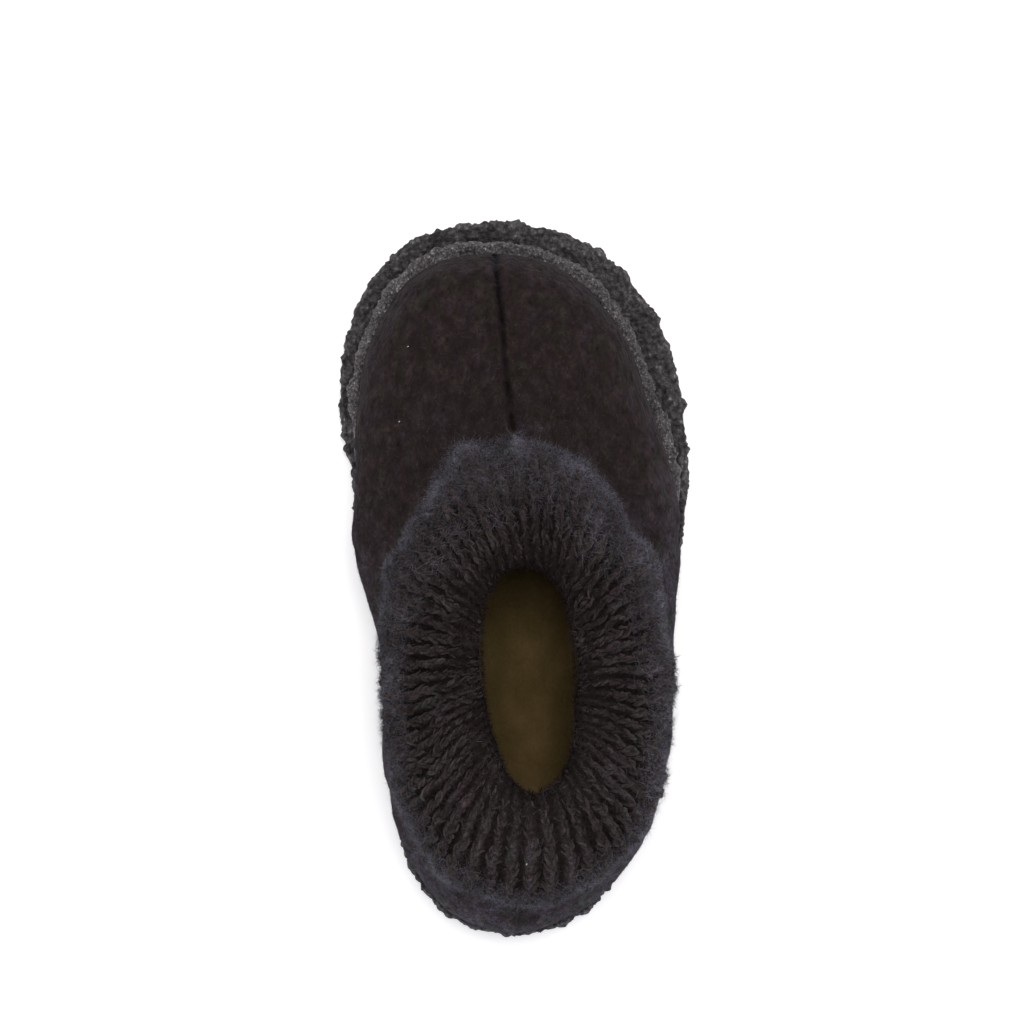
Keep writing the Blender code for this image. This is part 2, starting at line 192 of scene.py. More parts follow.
# Soft troughs (+) and ridges (-) in the felt: points as along and across on the last and as a height in
# metres, then the depth and the half width
FELT_CREASES = (
    (((0.66, 0.80, 0.030), (0.60, 0.72, 0.036), (0.545, 0.70, 0.040)), 0.0007, 0.0030),  # ball, outer side
    (((0.58, 0.93, 0.020), (0.55, 0.86, 0.030), (0.50, 0.80, 0.038)), 0.0006, 0.0026),
    (((0.68, -0.86, 0.028), (0.61, -0.76, 0.034), (0.555, -0.70, 0.040)), 0.0007, 0.0030),  # ball, inner side
    (((0.60, -0.95, 0.020), (0.56, -0.90, 0.030), (0.52, -0.80, 0.037)), -0.0005, 0.0028),
    (((0.74, -0.55, 0.039), (0.72, -0.25, 0.044), (0.705, 0.00, 0.046)), 0.0005, 0.0040),  # before the cuff
    (((0.705, 0.02, 0.046), (0.715, 0.30, 0.044), (0.73, 0.55, 0.039)), 0.0005, 0.0040),
    (((0.05, -0.35, 0.034), (0.045, 0.00, 0.035), (0.05, 0.33, 0.034)), 0.0006, 0.0034),  # heel counter
    (((0.15, 0.72, 0.018), (0.19, 0.80, 0.028), (0.24, 0.82, 0.036)), 0.0005, 0.0030),
    (((0.15, -0.70, 0.018), (0.19, -0.74, 0.027), (0.25, -0.74, 0.035)), 0.0005, 0.0030),
)

# Layers of relief: the height and the width of a lump in metres, one for all axes or one for each, and a seed
FELT_LAYERS = (
    (0.00034, 0.013, 11),
    (0.00026, 0.0055, 12),
    (0.00016, (0.0021, 0.0036, 0.0026), 13),
    (0.00008, 0.0014, 16),
)
FELT_PITS = (0.00040, (0.0015, 0.0020, 0.0018), 14)
INSOLE_LAYERS = ((0.00035, 0.010, 41), (0.00018, 0.0028, 42), (0.00014, (0.0012, 0.0016, 0.0012), 43))
KNIT_LAYERS = ((0.0005, 0.006, 54), (0.00035, 0.0014, 55))
RAND_LUMPS = ((0.00080, 0.0036, 21),)
RAND_CRUMBS = ((0.00125, 0.0019, 22),)
SOLE_LUMPS = ((0.00065, 0.0034, 31),)
SOLE_CRUMBS = ((0.00090, 0.0026, 32), (0.0006, 0.0012, 33))
SOLE_SUNK = 0.0006
CRUMB_MEAN = 0.37

# How finely the surfaces are divided
FELT_AROUND = 640
FELT_SEAM_LINES = 41
FELT_LEVELS = 138
LINING_AROUND = 180
LINING_LEVELS = 22
RAND_AROUND = 1000
RAND_STEPS = 34
SOLE_AROUND = 900
INSOLE_AROUND = 440
CUFF_AROUND = 8 * CUFF_RIBS
CUFF_LEVELS = 84
FINE_STEPS = 720

# Wool knit. RIB_GATHER: how strongly the ribs behind the mouth keep apart as they climb to it. STITCH_ROWS:
# rows of stitches up the outside. LIP_ROWS: rows that go on over the lip.
RIB_GATHER = 0.34
STITCH_ROWS = 16
LIP_ROWS = 1
YARN_SIDES = 4
YARN_STEPS = 6
YARN_PLIES = 2
SEAM_STITCHES = 150

# Layers over the cuff: the height in metres, or for RIB_DRIFT the share of the way round, then the width of
# a lump where circle() places it, and the seed
RIB_DRIFT = ((0.0046, 0.45, 51), (0.0027, 0.15, 52))
RIB_PITS = (0.0016, (0.09, 0.09, 0.06), 58)
RIB_SUNK = 0.0009
PUFF_HEIGHT = 0.00054
PUFF_LAYERS = ((0.0018, 0.24, 56), (0.0018, 0.50, 60), (0.0009, 0.13, 64))
WAIST_PRESS = 0.0014

# Where the ribs come out of the haze over the cuff's lower band, as a share of the outside's length, at
# shares of the way round
HAZE_SHARES = (0.0, 0.10, 0.18, 0.30, 0.42, 0.50, 0.58, 0.70, 0.82, 0.90, 1.0)
HAZE_REACH = (0.50, 0.47, 0.42, 0.36, 0.29, 0.24, 0.27, 0.33, 0.40, 0.46, 0.50)

# Numbers of loose fibres
NAP_FIBRES = 42000
HAZE_FIBRES = 30000
RIB_FIBRES = 24000

# Lint: what each speck lies on, its column and row in the photograph, its length in metres and its turn
LINT = (
    ("felt", 512, 442, 0.0013, 0.2),
    ("felt", 521, 441, 0.0005, 0.9),
    ("knit", 580, 491, 0.00045, 0.4),
    ("knit", 527, 862, 0.0006, 1.2),
    ("felt", 410, 348, 0.0004, 0.3),
    ("felt", 486, 243, 0.0005, 1.4),
    ("felt", 402, 421, 0.00035, 0.8),
)

# Lights: name, place, size, power and colour
LIGHTS = (
    ("key", (0.05, 0.20, 1.35), 0.4, 9.0, (1.0, 0.95, 0.91)),
    ("fill", (1.0, -0.45, 0.55), 0.7, 30.0, (0.84, 0.87, 1.0)),
)
SKY_COLOUR = (0.95, 0.95, 1.0, 1)
SKY_STRENGTH = 0.85

RANDOM = np.random.default_rng(41)


def closed_spline(knots, values, at):
    """The smooth closed curve through the values at the knots, which run from 0 to below 1, at shares."""
    count = len(knots)
    step = np.diff(np.append(knots, 1.0))
    following = np.roll(values, -1, axis=0)
    slope = (following - values) / step[:, None]
    matrix = np.zeros((count, count))
    for i in range(count):
        matrix[i, i - 1] += step[i - 1]
        matrix[i, i] += 2 * (step[i - 1] + step[i])
        matrix[i, (i + 1) % count] += step[i]
    bend = np.linalg.solve(matrix, 6 * (slope - np.roll(slope, 1, axis=0)))
    at = np.mod(at, 1.0)
    left = np.searchsorted(knots, at, side="right") - 1
    right = (left + 1) % count
    length = step[left][:, None]
    b = ((at - knots[left])[:, None]) / length
    a = 1 - b
    curved = ((a**3 - a) * bend[left] + (b**3 - b) * bend[right]) * length**2 / 6
    return a * values[left] + b * values[right] + curved


def chord_knots(points):
    """Each row's share of the way round, by the straight distance from row to row."""
    steps = np.linalg.norm(np.roll(points, -1, axis=0) - points, axis=1)
    return np.concatenate([[0.0], np.cumsum(steps)[:-1]]) / steps.sum()


def unit(vectors):
    return vectors / np.maximum(np.linalg.norm(vectors, axis=-1, keepdims=True), 1e-12)


def even(count):
    """Shares of the way round, evenly apart."""
    return np.arange(count) / count


def rise(values, zero, one):
    """From 0 where the values are at the first number to 1 where they are at the second, and level beyond."""
    return np.clip((values - zero) / (one - zero), 0, 1)


def bell(distance, width):
    """1 at no distance, falling softly to about a third at the width."""
    return np.exp(-((distance / width) ** 2))


def columns(names, table):
    return dict(zip(names, np.array(table).T))


def plan(rows):
    """Places seen from above, in metres from the middle of the heel's back."""
    return np.stack([rows["across"] * BALL_WIDTH / 2, rows["along"] * SOLE_LENGTH], axis=1)


def sections_at(at):
    """The last's columns at the shares given. Reach is read as its lead over the way round the sole."""
    knots = chord_knots(plan(columns(SECTION_COLUMNS, SECTIONS)))
    values = np.array(SECTIONS)
    reach = SECTION_COLUMNS.index("reach")
    values[:, reach] -= knots
    read = closed_spline(knots, values, at)
    read[:, reach] += at
    return columns(SECTION_COLUMNS, read)


def outward(ring):
    """The level normals of a closed ring that runs by the outer side, seen from above."""
    along = np.roll(ring[:, :2], -1, axis=0) - np.roll(ring[:, :2], 1, axis=0)
    return unit(np.stack([-along[:, 1], along[:, 0]], axis=1))


def sole_edge(at):
    return plan(sections_at(at))


def felt_foot(at):
    """The outside of the felt where it stands on the sole, seen from above."""
    edge = sole_edge(at)
    inset = sections_at(at)["ledge"] * LEDGE + RAND_WALL + GAP
    return edge - outward(edge) * inset[:, None]


def ring_by_length(knots, values, shares):
    """Points of a closed curve at shares of its length."""
    fine = np.linspace(0, 1, FINE_STEPS + 1)
    points = closed_spline(knots, values, fine[:-1])
    points = np.vstack([points, points[:1]])
    walked = np.concatenate([[0.0], np.cumsum(np.linalg.norm(np.diff(points, axis=0), axis=1))])
    where = np.interp(np.mod(shares, 1.0) * walked[-1], walked, fine)
    return closed_spline(knots, values, where)


def top_line(shares):
    rows = columns(TOP_COLUMNS, TOP_LINE)
    over_instep = rows["instep"] * (INSTEP_HEIGHT - QUARTER_HEIGHT)
    over_heel = rows["heel"] * (HEEL_HEIGHT - QUARTER_HEIGHT)
    points = np.column_stack([plan(rows), QUARTER_HEIGHT + over_instep + over_heel])
    return ring_by_length(chord_knots(points), points, shares)


def mouth(shares):
    rows = columns(MOUTH_COLUMNS, MOUTH)
    base = (INSTEP_HEIGHT + QUARTER_HEIGHT) / 2
    points = np.column_stack([plan(rows), base + rows["lift"] * CUFF_RISE])
    return ring_by_length(chord_knots(points), points, shares)


def bezier(controls, t):
    """Points at t on cubic curves, for controls of four (n, 3) arrays and t of shape (n, m)."""
    t = t[:, :, None]
    first, second, third, last = (c[:, None, :] for c in controls)
    return (1 - t) ** 3 * first + 3 * (1 - t) ** 2 * t * second + 3 * (1 - t) * t**2 * third + t**3 * last


def level(vectors):
    """Level vectors of length 1 in three dimensions."""
    flat = np.column_stack([vectors[:, :2], np.zeros(len(vectors))])
    return unit(flat)


def felt_controls(at):
    """The four control points of each section's curve, from the sole up to the top line."""
    shape = sections_at(at)
    foot = felt_foot(at)
    base = np.column_stack([foot, np.full(len(foot), SOLE_THICKNESS + GAP)])
    top = top_line(shape["reach"])
    rise = (top - base)[:, 2]
    run = np.linalg.norm((top - base)[:, :2], axis=1)
    shoulder = base + UP * (shape["shoulder"] * rise)[:, None]
    crown = top + level(base - top) * (shape["crown"] * run)[:, None] - UP * (shape["drop"] * rise)[:, None]
    return base, shoulder, crown, top


def felt_form(at, t):
    """The felt's outside without its seam. Above the rand it swells out past its own foot."""
    foot = felt_foot(at)
    out = np.column_stack([outward(foot), np.zeros(len(foot))])
    swell = (sections_at(at)["swell"] * SWELL)[:, None] * np.sin(math.pi * t**1.3) ** 2
    return bezier(felt_controls(at), t) + out[:, None] * swell[:, :, None]


def normals(grid):
    """Outward normals of a grid of points. Its first axis runs round the shoe and its second up it."""
    ahead = np.roll(grid, -1, axis=0) - np.roll(grid, 1, axis=0)
    upwards = np.gradient(grid, axis=1)
    return unit(np.cross(upwards, ahead))


def towards_toe(y):
    """How far a place is into the toe spring, from 0 where it starts to 1 at the toe."""
    return np.clip((y / SOLE_LENGTH - TOE_SPRING_START) / (1 - TOE_SPRING_START), 0, None)


def arch(y):
    """How far the underside stands off the floor under the waist."""
    return ARCH_LIFT * np.sin(math.pi * rise(y / SOLE_LENGTH, ARCH_START, ARCH_END)) ** 2


def world_shift():
    """From the last's own origin, behind the heel, to the frame's, under the middle of the shoe."""
    edge = sole_edge(even(FINE_STEPS))
    middle = (edge.min(axis=0) + edge.max(axis=0)) / 2
    return np.array([-middle[0], -middle[1], 0.0])


def placed(points):
    """Adds the toe spring, and moves points from the last's origin to the frame's."""
    raised = points + world_shift()
    raised[..., 2] += TOE_SPRING * towards_toe(points[..., 1]) ** 2
    return raised


def cuff_skin(shares, t):
    """The outside of the cuff between its ribs, up from the felt's top edge and over to the mouth."""
    top = top_line(shares)
    rim = mouth(shares)
    out = level(top - rim)
    seam_out = np.column_stack([outward(top), np.zeros(len(top))])
    base = top + UP * GAP
    rise = (rim - base)[:, 2]
    run = np.linalg.norm((rim - base)[:, :2], axis=1)
    crest = rim + out * CUFF_WALL * 0.5
    shoulder = base + seam_out * CUFF_SWELL + UP * (0.62 * rise)[:, None]
    crown = crest + out * (0.42 * run)[:, None] + UP * (0.10 * rise)[:, None]
    return bezier((base, shoulder, crown, crest), t)


def noise(points, size, seed):
    """Smooth random values from -1 to 1. Size is the width of a lump, one for all axes or one for each."""
    scaled = points / np.array(size)
    cell = np.floor(scaled).astype(np.int64)
    part = scaled - cell
    part = part * part * (3 - 2 * part)
    total = np.zeros(points.shape[:-1])
    for corner in itertools.product((0, 1), repeat=3):
        at = cell + np.array(corner)
        key = (at[..., 0] * 73856093) ^ (at[..., 1] * 19349663) ^ (at[..., 2] * 83492791) ^ (seed * 97911)
        key = ((key ^ (key >> 13)) * 1274126177) & 0x7FFFFFFF
        value = ((key ^ (key >> 15)) & 0xFFFF) / 32767.5 - 1
        weight = np.prod(np.where(np.array(corner) == 1, part, 1 - part), axis=-1)
        total += weight * value
    return total


def crumb(points, size, seed):
    """Rounded grains with sharp clefts between them, from 0 in a cleft to about 1."""
    return np.abs(noise(points, size, seed)) + 0.5 * np.abs(noise(points, size * 0.52, seed + 1))


def layers(points, rows):
    """Relief from several layers of smooth lumps."""
    return sum(height * noise(points, size, seed) for height, size, seed in rows)


def crumbs(points, rows):
    """Layers of crumb that are level on average."""
    return sum(height * (crumb(points, size, seed) - CRUMB_MEAN) for height, size, seed in rows)


def pits(points, row, rim):
    """How deep the pits of a layer are, which lie where its noise is above the rim."""
    depth, size, seed = row
    return depth * (noise(points, size, seed) - rim).clip(0)


def grid_faces(rounds, levels, closed_up=False):
    """Quads of a grid that closes round the shoe, and up its section too where it is a closed ring."""
    i = np.arange(rounds)[:, None]
    j = np.arange(levels if closed_up else levels - 1)[None, :]
    after = (i + 1) % rounds
    above = (j + 1) % levels
    corners = (i * levels + j, after * levels + j, after * levels + above, i * levels + above)
    return np.stack([np.broadcast_to(c, (rounds, j.shape[1])) for c in corners], axis=-1).reshape(-1, 4)


def add_mesh(name, points, faces, material, tone=None):
    """One mesh object. Faces are rows of point numbers, and tone is a value for each point."""
    mesh = bpy.data.meshes.new(name)
    rows = [row for group in faces for row in group.tolist()]
    mesh.from_pydata(points.reshape(-1, 3).tolist(), [], rows)
    mesh.update()
    mesh.shade_smooth()
    if tone is not None:
        values = mesh.attributes.new("tone", "FLOAT", "POINT").data
        values.foreach_set("value", tone.ravel().astype(np.float32))
    mesh.materials.append(material)
    piece = bpy.data.objects.new(name, mesh)
    bpy.context.scene.collection.objects.link(piece)
    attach(piece, "root")
    return piece


def read_grid(grid, share, height):
    """Points of a grid at shares round it and up it, read between its lines."""
    rounds, levels = grid.shape[:2]
    i = np.mod(share, 1.0) * rounds
    j = np.clip(height, 0, 1) * (levels - 1)
    left = np.floor(i).astype(int)
    low = np.minimum(np.floor(j).astype(int), levels - 2)
    a = (i - left)[..., None]
    b = (j - low)[..., None]
    left = left % rounds
    right = (left + 1) % rounds
    lower, upper = (grid[left, line] * (1 - a) + grid[right, line] * a for line in (low, low + 1))
    return lower * (1 - b) + upper * b


def ribbons(name, roots, leans, sides, outs, length, width, arching, material, tone, steps):
    """Fine tapered fibres. Each starts at a root, runs along its lean and arches off the surface."""
    count = len(roots)
    q = np.linspace(0, 1, steps + 1)
    middle = roots[:, None] + leans[:, None] * (q * length[:, None])[..., None]
    middle = middle + outs[:, None] * (np.sin(math.pi * 0.75 * q) * arching[:, None])[..., None]
    bend = RANDOM.normal(0, 0.18, (count, 1)) * q**2 * length[:, None]
    middle = middle + sides[:, None] * bend[..., None]
    half = (width[:, None] / 2 * (1 - 0.75 * q))[..., None] * sides[:, None]
    body = np.stack([middle[:, :-1] - half[:, :-1], middle[:, :-1] + half[:, :-1]], axis=2)
    points = np.concatenate([body.reshape(count, -1, 3), middle[:, -1:]], axis=1)
    each = points.shape[1]
    base = (np.arange(count) * each)[:, None]
    quads = [base + 2 * s + np.array([[0, 1, 3, 2]]) for s in range(steps - 1)]
    tips = base + 2 * (steps - 1) + np.array([[0, 1, 2]])
    tones = np.repeat(tone[:, None], each, axis=1)
    return add_mesh(name, points, [*quads, tips], material, tones)


def tubes(name, paths, radius, material, tone):
    """Round strands along paths[n, steps, 3], with rounded ends."""
    count, steps = paths.shape[:2]
    ahead = unit(np.gradient(paths, axis=1))
    across = unit(np.cross(ahead, UP + 0.37 * np.array([1.0, 0.3, 0.0])))
    over = np.cross(across, ahead)
    q = np.linspace(0, 1, steps)
    swell = np.sqrt(np.clip(1 - (2 * q - 1) ** 6, 0.12, 1))
    angles = (even(YARN_SIDES) * TURN)[None, None, :, None]
    reach = radius[:, None, None, None] * swell[None, :, None, None]
    turned = across[:, :, None] * np.cos(angles) + over[:, :, None] * np.sin(angles)
    points = paths[:, :, None] + turned * reach
    base = np.arange(count)[:, None] * steps * YARN_SIDES
    ring = np.arange(YARN_SIDES)
    faces = []
    for low in range(0, (steps - 1) * YARN_SIDES, YARN_SIDES):
        for a, b in zip(ring, np.roll(ring, -1)):
            faces.append(base + low + np.array([[a, b, YARN_SIDES + b, YARN_SIDES + a]]))
    ends = [base + ring[::-1], base + (steps - 1) * YARN_SIDES + ring]
    tones = np.repeat(tone[:, None], steps * YARN_SIDES, axis=1)
    return add_mesh(name, points, [*faces, *ends], material, tones)


# Materials


class Look:
    """A node material: a shader with its uniform values set, and helpers that add what varies."""

    def __init__(self, name, roughness, specular, sheen=0.0, sheen_tint=(1, 1, 1), sheen_roughness=0.5):
        self.material = bpy.data.materials.new(name)
        self.material.use_nodes = True
        self.tree = self.material.node_tree
        self.shader = self.tree.nodes["Principled BSDF"]
        uniform = {
            "Roughness": roughness,
            "Specular IOR Level": specular,
            "Sheen Weight": sheen,
            "Sheen Tint": (*sheen_tint, 1),
            "Sheen Roughness": sheen_roughness,
        }
        for socket, value in uniform.items():
            self.shader.inputs[socket].default_value = value
        self.place = self.tree.nodes.new("ShaderNodeTexCoord").outputs["Object"]

    def node(self, kind, inputs, **settings):
        """A new node. Each of its inputs takes another node's output or a value."""
        made = self.tree.nodes.new(kind)
        for name, value in settings.items():
            setattr(made, name, value)
        for socket, value in inputs.items():
            if isinstance(value, bpy.types.NodeSocket):
                self.tree.links.new(value, made.inputs[socket])
            else:
                made.inputs[socket].default_value = value
        return made

    def at_size(self, size):
        """Coordinates in which one unit is the given size in metres, one for all axes or one for each."""
        scale = tuple(1 / np.broadcast_to(size, 3))
        return self.node("ShaderNodeMapping", {"Vector": self.place, "Scale": scale}).outputs["Vector"]

    def noise(self, size, detail, roughness=0.55):
        inputs = {"Vector": self.at_size(size), "Scale": 1.0, "Detail": detail, "Roughness": roughness}
        return self.node("ShaderNodeTexNoise", inputs).outputs["Fac"]

    def cells(self, size):
        inputs = {"Vector": self.at_size(size), "Scale": 1.0}
        return self.node("ShaderNodeTexVoronoi", inputs).outputs["Distance"]

    def tone(self):
        return self.node("ShaderNodeAttribute", {}, attribute_name="tone").outputs["Fac"]

    def ramp(self, factor, *stops):
        """Colours by a value. A stop is a position with its colour, or with one number for a grey."""
        made = self.node("ShaderNodeValToRGB", {"Fac": factor})
        elements = made.color_ramp.elements
        while len(elements) < len(stops):
            elements.new(0.5)
        for element, (position, colour) in zip(elements, stops):
            element.position = position
            element.color = (*np.broadcast_to(colour, 3), 1)
        return made.outputs["Color"]

    def times(self, product, *others):
        """The product of several colours."""
        for other in others:
            inputs = {0: 1.0, 6: product, 7: other}
            product = self.node("ShaderNodeMix", inputs, data_type="RGBA", blend_type="MULTIPLY").outputs[2]
        return product

    def sums(self, *weighted):
        """The weighted sum of several values."""
        total = 0.0
        for output, weight in weighted:
            inputs = {0: output, 1: weight, 2: total}
            total = self.node("ShaderNodeMath", inputs, operation="MULTIPLY_ADD").outputs[0]
        return total

    def colour(self, output):
        self.tree.links.new(output, self.shader.inputs["Base Color"])

    def bump(self, height, distance):
        inputs = {"Strength": 1.0, "Distance": distance, "Height": height}
        normal = self.node("ShaderNodeBump", inputs).outputs["Normal"]
        self.tree.links.new(normal, self.shader.inputs["Normal"])


def felt_look():
    """Near-black boiled wool: brownish, greenish and purplish clumps, grey flecks and fine pits, with painted
    sheen on the walls and painted shade by the seam and the lip from its tone.
    """
    look = Look("boiled_felt", 0.95, 0.05, 0.025, (0.76, 0.75, 1.0), 0.4)
    strands = look.noise((0.0008, 0.0011, 0.0015), 4, 0.62)
    clumps = look.noise((0.0024, 0.0034, 0.0044), 3)
    clouds = look.noise((0.0034, 0.0048, 0.0062), 3)
    fine = look.noise((0.0011, 0.0015, 0.0016), 2)
    shade = look.sums((strands, 0.34), (clumps, 0.76))
    base = look.ramp(shade, (0.36, (0.0110, 0.0076, 0.0073)), (0.54, (0.0200, 0.0148, 0.0144)),
                     (0.72, (0.033, 0.0255, 0.0250)))
    tint = look.ramp(clouds, (0.36, (0.85, 1.00, 0.82)), (0.50, (1.08, 0.97, 0.96)),
                     (0.64, (1.02, 0.97, 1.12)))
    # Painted light from the tone: paler and bluer at 0 for painted sheen, darker at 1 for painted shadow in
    # the seam and painted shade by the lip.
    depth = look.ramp(look.tone(), (0.0, (2.70, 3.45, 4.50)), (0.5, 0.95), (1.0, (0.30, 0.29, 0.29)))
    flecks = look.ramp(fine, (0.29, (0.55, 0.55, 0.52)), (0.40, 1.0), (0.61, 1.0), (0.74, (1.35, 1.35, 1.38)))
    look.colour(look.times(base, flecks, tint, depth))
    dimples = look.cells((0.0011, 0.0016, 0.0013))
    look.bump(look.sums((strands, 1.0), (dimples, 0.4), (clumps, 0.8)), 0.0005)
    return look.material


def nap_look():
    """Loose wool fibres on the felt."""
    look = Look("felt_nap", 0.9, 0.05)
    look.colour(look.ramp(look.tone(), (0.0, (0.012, 0.0085, 0.0083)), (0.6, (0.023, 0.0170, 0.0167)),
                          (1.0, (0.060, 0.054, 0.062))))
    return look.material


def knit_look():
    """The ground of the knit: painted shade in the grooves and painted light on the ribs up to tone 0.5, and
    above that pale bluish haze, a painted sheen.
    """
    look = Look("knit_ground", 0.95, 0.03)
    fine = look.noise(0.0008, 4)
    # Tone 0 to 0.5 runs from painted shade in the grooves to painted light on the ribs; above that is the
    # haze's pale bluish painted sheen.
    base = look.ramp(look.tone(), (0.0, (0.0065, 0.0048, 0.0048)), (0.2, (0.0150, 0.0118, 0.0118)),
                     (0.5, (0.0390, 0.0320, 0.0325)), (0.65, (0.050, 0.045, 0.051)),
                     (1.0, (0.115, 0.111, 0.137)))
    marks = look.ramp(fine, (0.32, 0.45), (0.50, 1.0), (0.68, 1.6))
    tint = look.ramp(look.noise(0.005, 2), (0.36, (0.90, 1.00, 0.90)), (0.64, (1.08, 0.97, 1.04)))
    look.colour(look.times(base, marks, tint))
    look.bump(fine, 0.0006)
    return look.material


def yarn_look():
    """Strands of charcoal wool, each a little different, spun of finer fibres."""
    look = Look("wool_yarn", 0.9, 0.10, 0.05, (0.8, 0.78, 1.0), 0.4)
    fine = look.noise(0.0007, 4, 0.6)
    tone = look.sums((look.tone(), 0.65), (fine, 0.60))
    base = look.ramp(tone, (0.15, (0.010, 0.0074, 0.0072)), (0.50, (0.028, 0.0220, 0.0220)),
                     (0.75, (0.045, 0.037, 0.037)), (1.0, (0.072, 0.063, 0.064)))
    tint = look.ramp(look.noise(0.004, 2), (0.36, (0.88, 1.00, 0.88)), (0.64, (1.10, 0.96, 1.02)))
    look.colour(look.times(base, tint))
    look.bump(fine, 0.0003)
    return look.material


def fuzz_look():
    """Wool haze round the cuff, its pale bluish colour a painted sheen."""
    look = Look("wool_fuzz_painted_sheen", 0.9, 0.1, 0.3, (0.8, 0.85, 1.0), 0.4)
    look.colour(look.ramp(look.tone(), (0.0, (0.026, 0.023, 0.026)), (0.6, (0.080, 0.076, 0.092)),
                          (1.0, (0.140, 0.135, 0.166))))
    return look.material


def crepe_look():
    """Dark crepe rubber: crumbs pressed together, dull, with a few pale ones."""
    look = Look("crepe_rubber", 0.8, 0.25)
    grains = look.cells(0.0016)
    fine = look.noise(0.0010, 5, 0.68)
    shade = look.sums((fine, 1.0), (grains, -0.22))
    look.colour(look.ramp(shade, (0.20, (0.012, 0.011, 0.011)), (0.38, (0.052, 0.048, 0.050)),
                          (0.52, (0.110, 0.104, 0.109)), (0.66, (0.31, 0.30, 0.31))))
    look.bump(look.sums((fine, 1.0), (grains, -0.6)), 0.0007)
    return look.material


def rand_look():
    """The rand's lighter crepe, with small bright specks and dark pores."""
    look = Look("rand_rubber", 0.7, 0.3)
    grains = look.cells(0.0009)
    fine = look.noise(0.0005, 4, 0.7)
    shade = look.sums((fine, 1.0), (grains, -0.2))
    base = look.ramp(shade, (0.22, (0.013, 0.012, 0.013)), (0.38, (0.062, 0.057, 0.060)),
                     (0.50, (0.120, 0.113, 0.118)), (0.62, (0.44, 0.42, 0.43)))
    patches = look.ramp(look.noise(0.004, 2), (0.35, 0.72), (0.62, (1.15, 1.13, 1.12)))
    look.colour(look.times(base, patches))
    look.bump(look.sums((fine, 1.0), (grains, -0.6)), 0.0006)
    return look.material


def insole_look():
    """Mustard-brown felt in soft clouds."""
    look = Look("insole_wool", 0.95, 0.1, 0.1, (1.0, 0.9, 0.7), 0.5)
    fine = look.noise((0.0006, 0.0009, 0.0006), 4, 0.65)
    clouds = look.noise((0.009, 0.013, 0.009), 3)
    shade = look.sums((fine, 0.25), (clouds, 0.80))
    look.colour(look.ramp(shade, (0.30, (0.052, 0.038, 0.012)), (0.52, (0.080, 0.055, 0.020)),
                          (0.76, (0.125, 0.084, 0.037))))
    look.bump(fine, 0.0003)
    return look.material


def lint_look():
    look = Look("pale_lint", 0.6, 0.4)
    look.colour(look.ramp(look.noise(0.0004, 2), (0.3, (0.25, 0.24, 0.23)), (0.7, (0.60, 0.58, 0.56))))
    return look.material


def floor_look():
    look = Look("pale_floor", 0.9, 0.1)
    look.shader.inputs["Emission Color"].default_value = (1, 1, 1, 1)
    look.shader.inputs["Emission Strength"].default_value = 0.25
    look.colour(look.ramp(look.noise(0.02, 3), (0.3, 0.93), (0.7, 0.95)))
    return look.material


# Felt


def felt_lines():
    """Where the felt's mesh has its lines: even round the shoe, and close together at the front seam."""
    wide = even(FELT_AROUND)
    girth = 2 * (SOLE_LENGTH + BALL_WIDTH)
    reach = 1.4 * SEAM_WIDTH / girth
    close = np.linspace(-reach, reach, FELT_SEAM_LINES)
    kept = wide[(wide > reach * 1.1) & (wide < 1 - reach * 1.1)]
    return np.sort(np.mod(np.concatenate([close, kept]), 1.0))


def to_polyline(points, line):
    """Distance from each point to the nearest of a line's stretches."""
    nearest = np.full(points.shape[:-1], np.inf)
    for start, end in zip(line, line[1:]):
        stretch = end - start
        share = np.clip(((points - start) @ stretch) / (stretch @ stretch), 0, 1)
        nearest = np.minimum(nearest, np.linalg.norm(points - start - share[..., None] * stretch, axis=-1))
    return nearest


def crease_depth(points):
    """The listed troughs and ridges, which die away towards their ends."""
    depth = np.zeros(points.shape[:-1])
    for line, deep, half in FELT_CREASES:
        along, across, height = np.array(line).T
        places = np.column_stack([across * BALL_WIDTH / 2, along * SOLE_LENGTH, height])
        depth += deep * bell(to_polyline(points, places), half)
    return depth


def seam_depth(grid, at):
    """The front seam: a soft valley with a narrow slit along its middle, and how near each point is to the
    slit, which sets the painted shadow in it.
    """
    front = (at < 0.25) | (at > 0.75)
    centre = grid[np.argmin(np.minimum(at, 1 - at))]
    wander = 0.0003 * noise(centre, 0.008, 5)
    away = grid - centre[None] - wander[None, :, None] * np.array([1.0, 0.0, 0.0])
    reach = np.linalg.norm(away, axis=2)
    lip = SOLE_THICKNESS + RAND_HEIGHT
    above = rise(grid[:, :, 2], lip, lip + SEAM_RUNOUT) * front[:, None]
    above = above * (0.9 + 0.5 * noise(grid, 0.0025, 6))
    valley = SEAM_DEPTH * bell(reach, SEAM_WIDTH / 2)
    slit = bell(reach, SEAM_SLIT_WIDTH)
    return (valley + SEAM_SLIT_DEPTH * slit) * above, slit * above


def rand_top(skin):
    """How high the rand's lip stands by each section of the felt."""
    return SOLE_THICKNESS + RAND_HEIGHT + RAND_TOE_RISE * towards_toe(skin[:, 0, 1])


def covered(at):
    """How far the felt bulges over the rand: 0 round the toe, 1 from the ball back round the heel."""
    along = sections_at(at)["along"]
    share = np.where(at > 0.5, rise(along, 0.765, 0.700), rise(along, 0.680, 0.570))
    return share * share * (3 - 2 * share)


def overhang(at):
    """How far the felt stands out past the solid over the rand, in metres."""
    along = sections_at(at)["along"]
    ball, draw = (np.where(at > 0.5, inner, outer) for inner, outer in (BALL_BULGE, WAIST_DRAW))
    heel = rise(along, 0.16, 0.02)
    waist = rise(along, 0.60, 0.45) * (1 - heel) * draw
    return TOE_BULGE + covered(at) * (ball - TOE_BULGE - waist - HEEL_DRAW * heel)


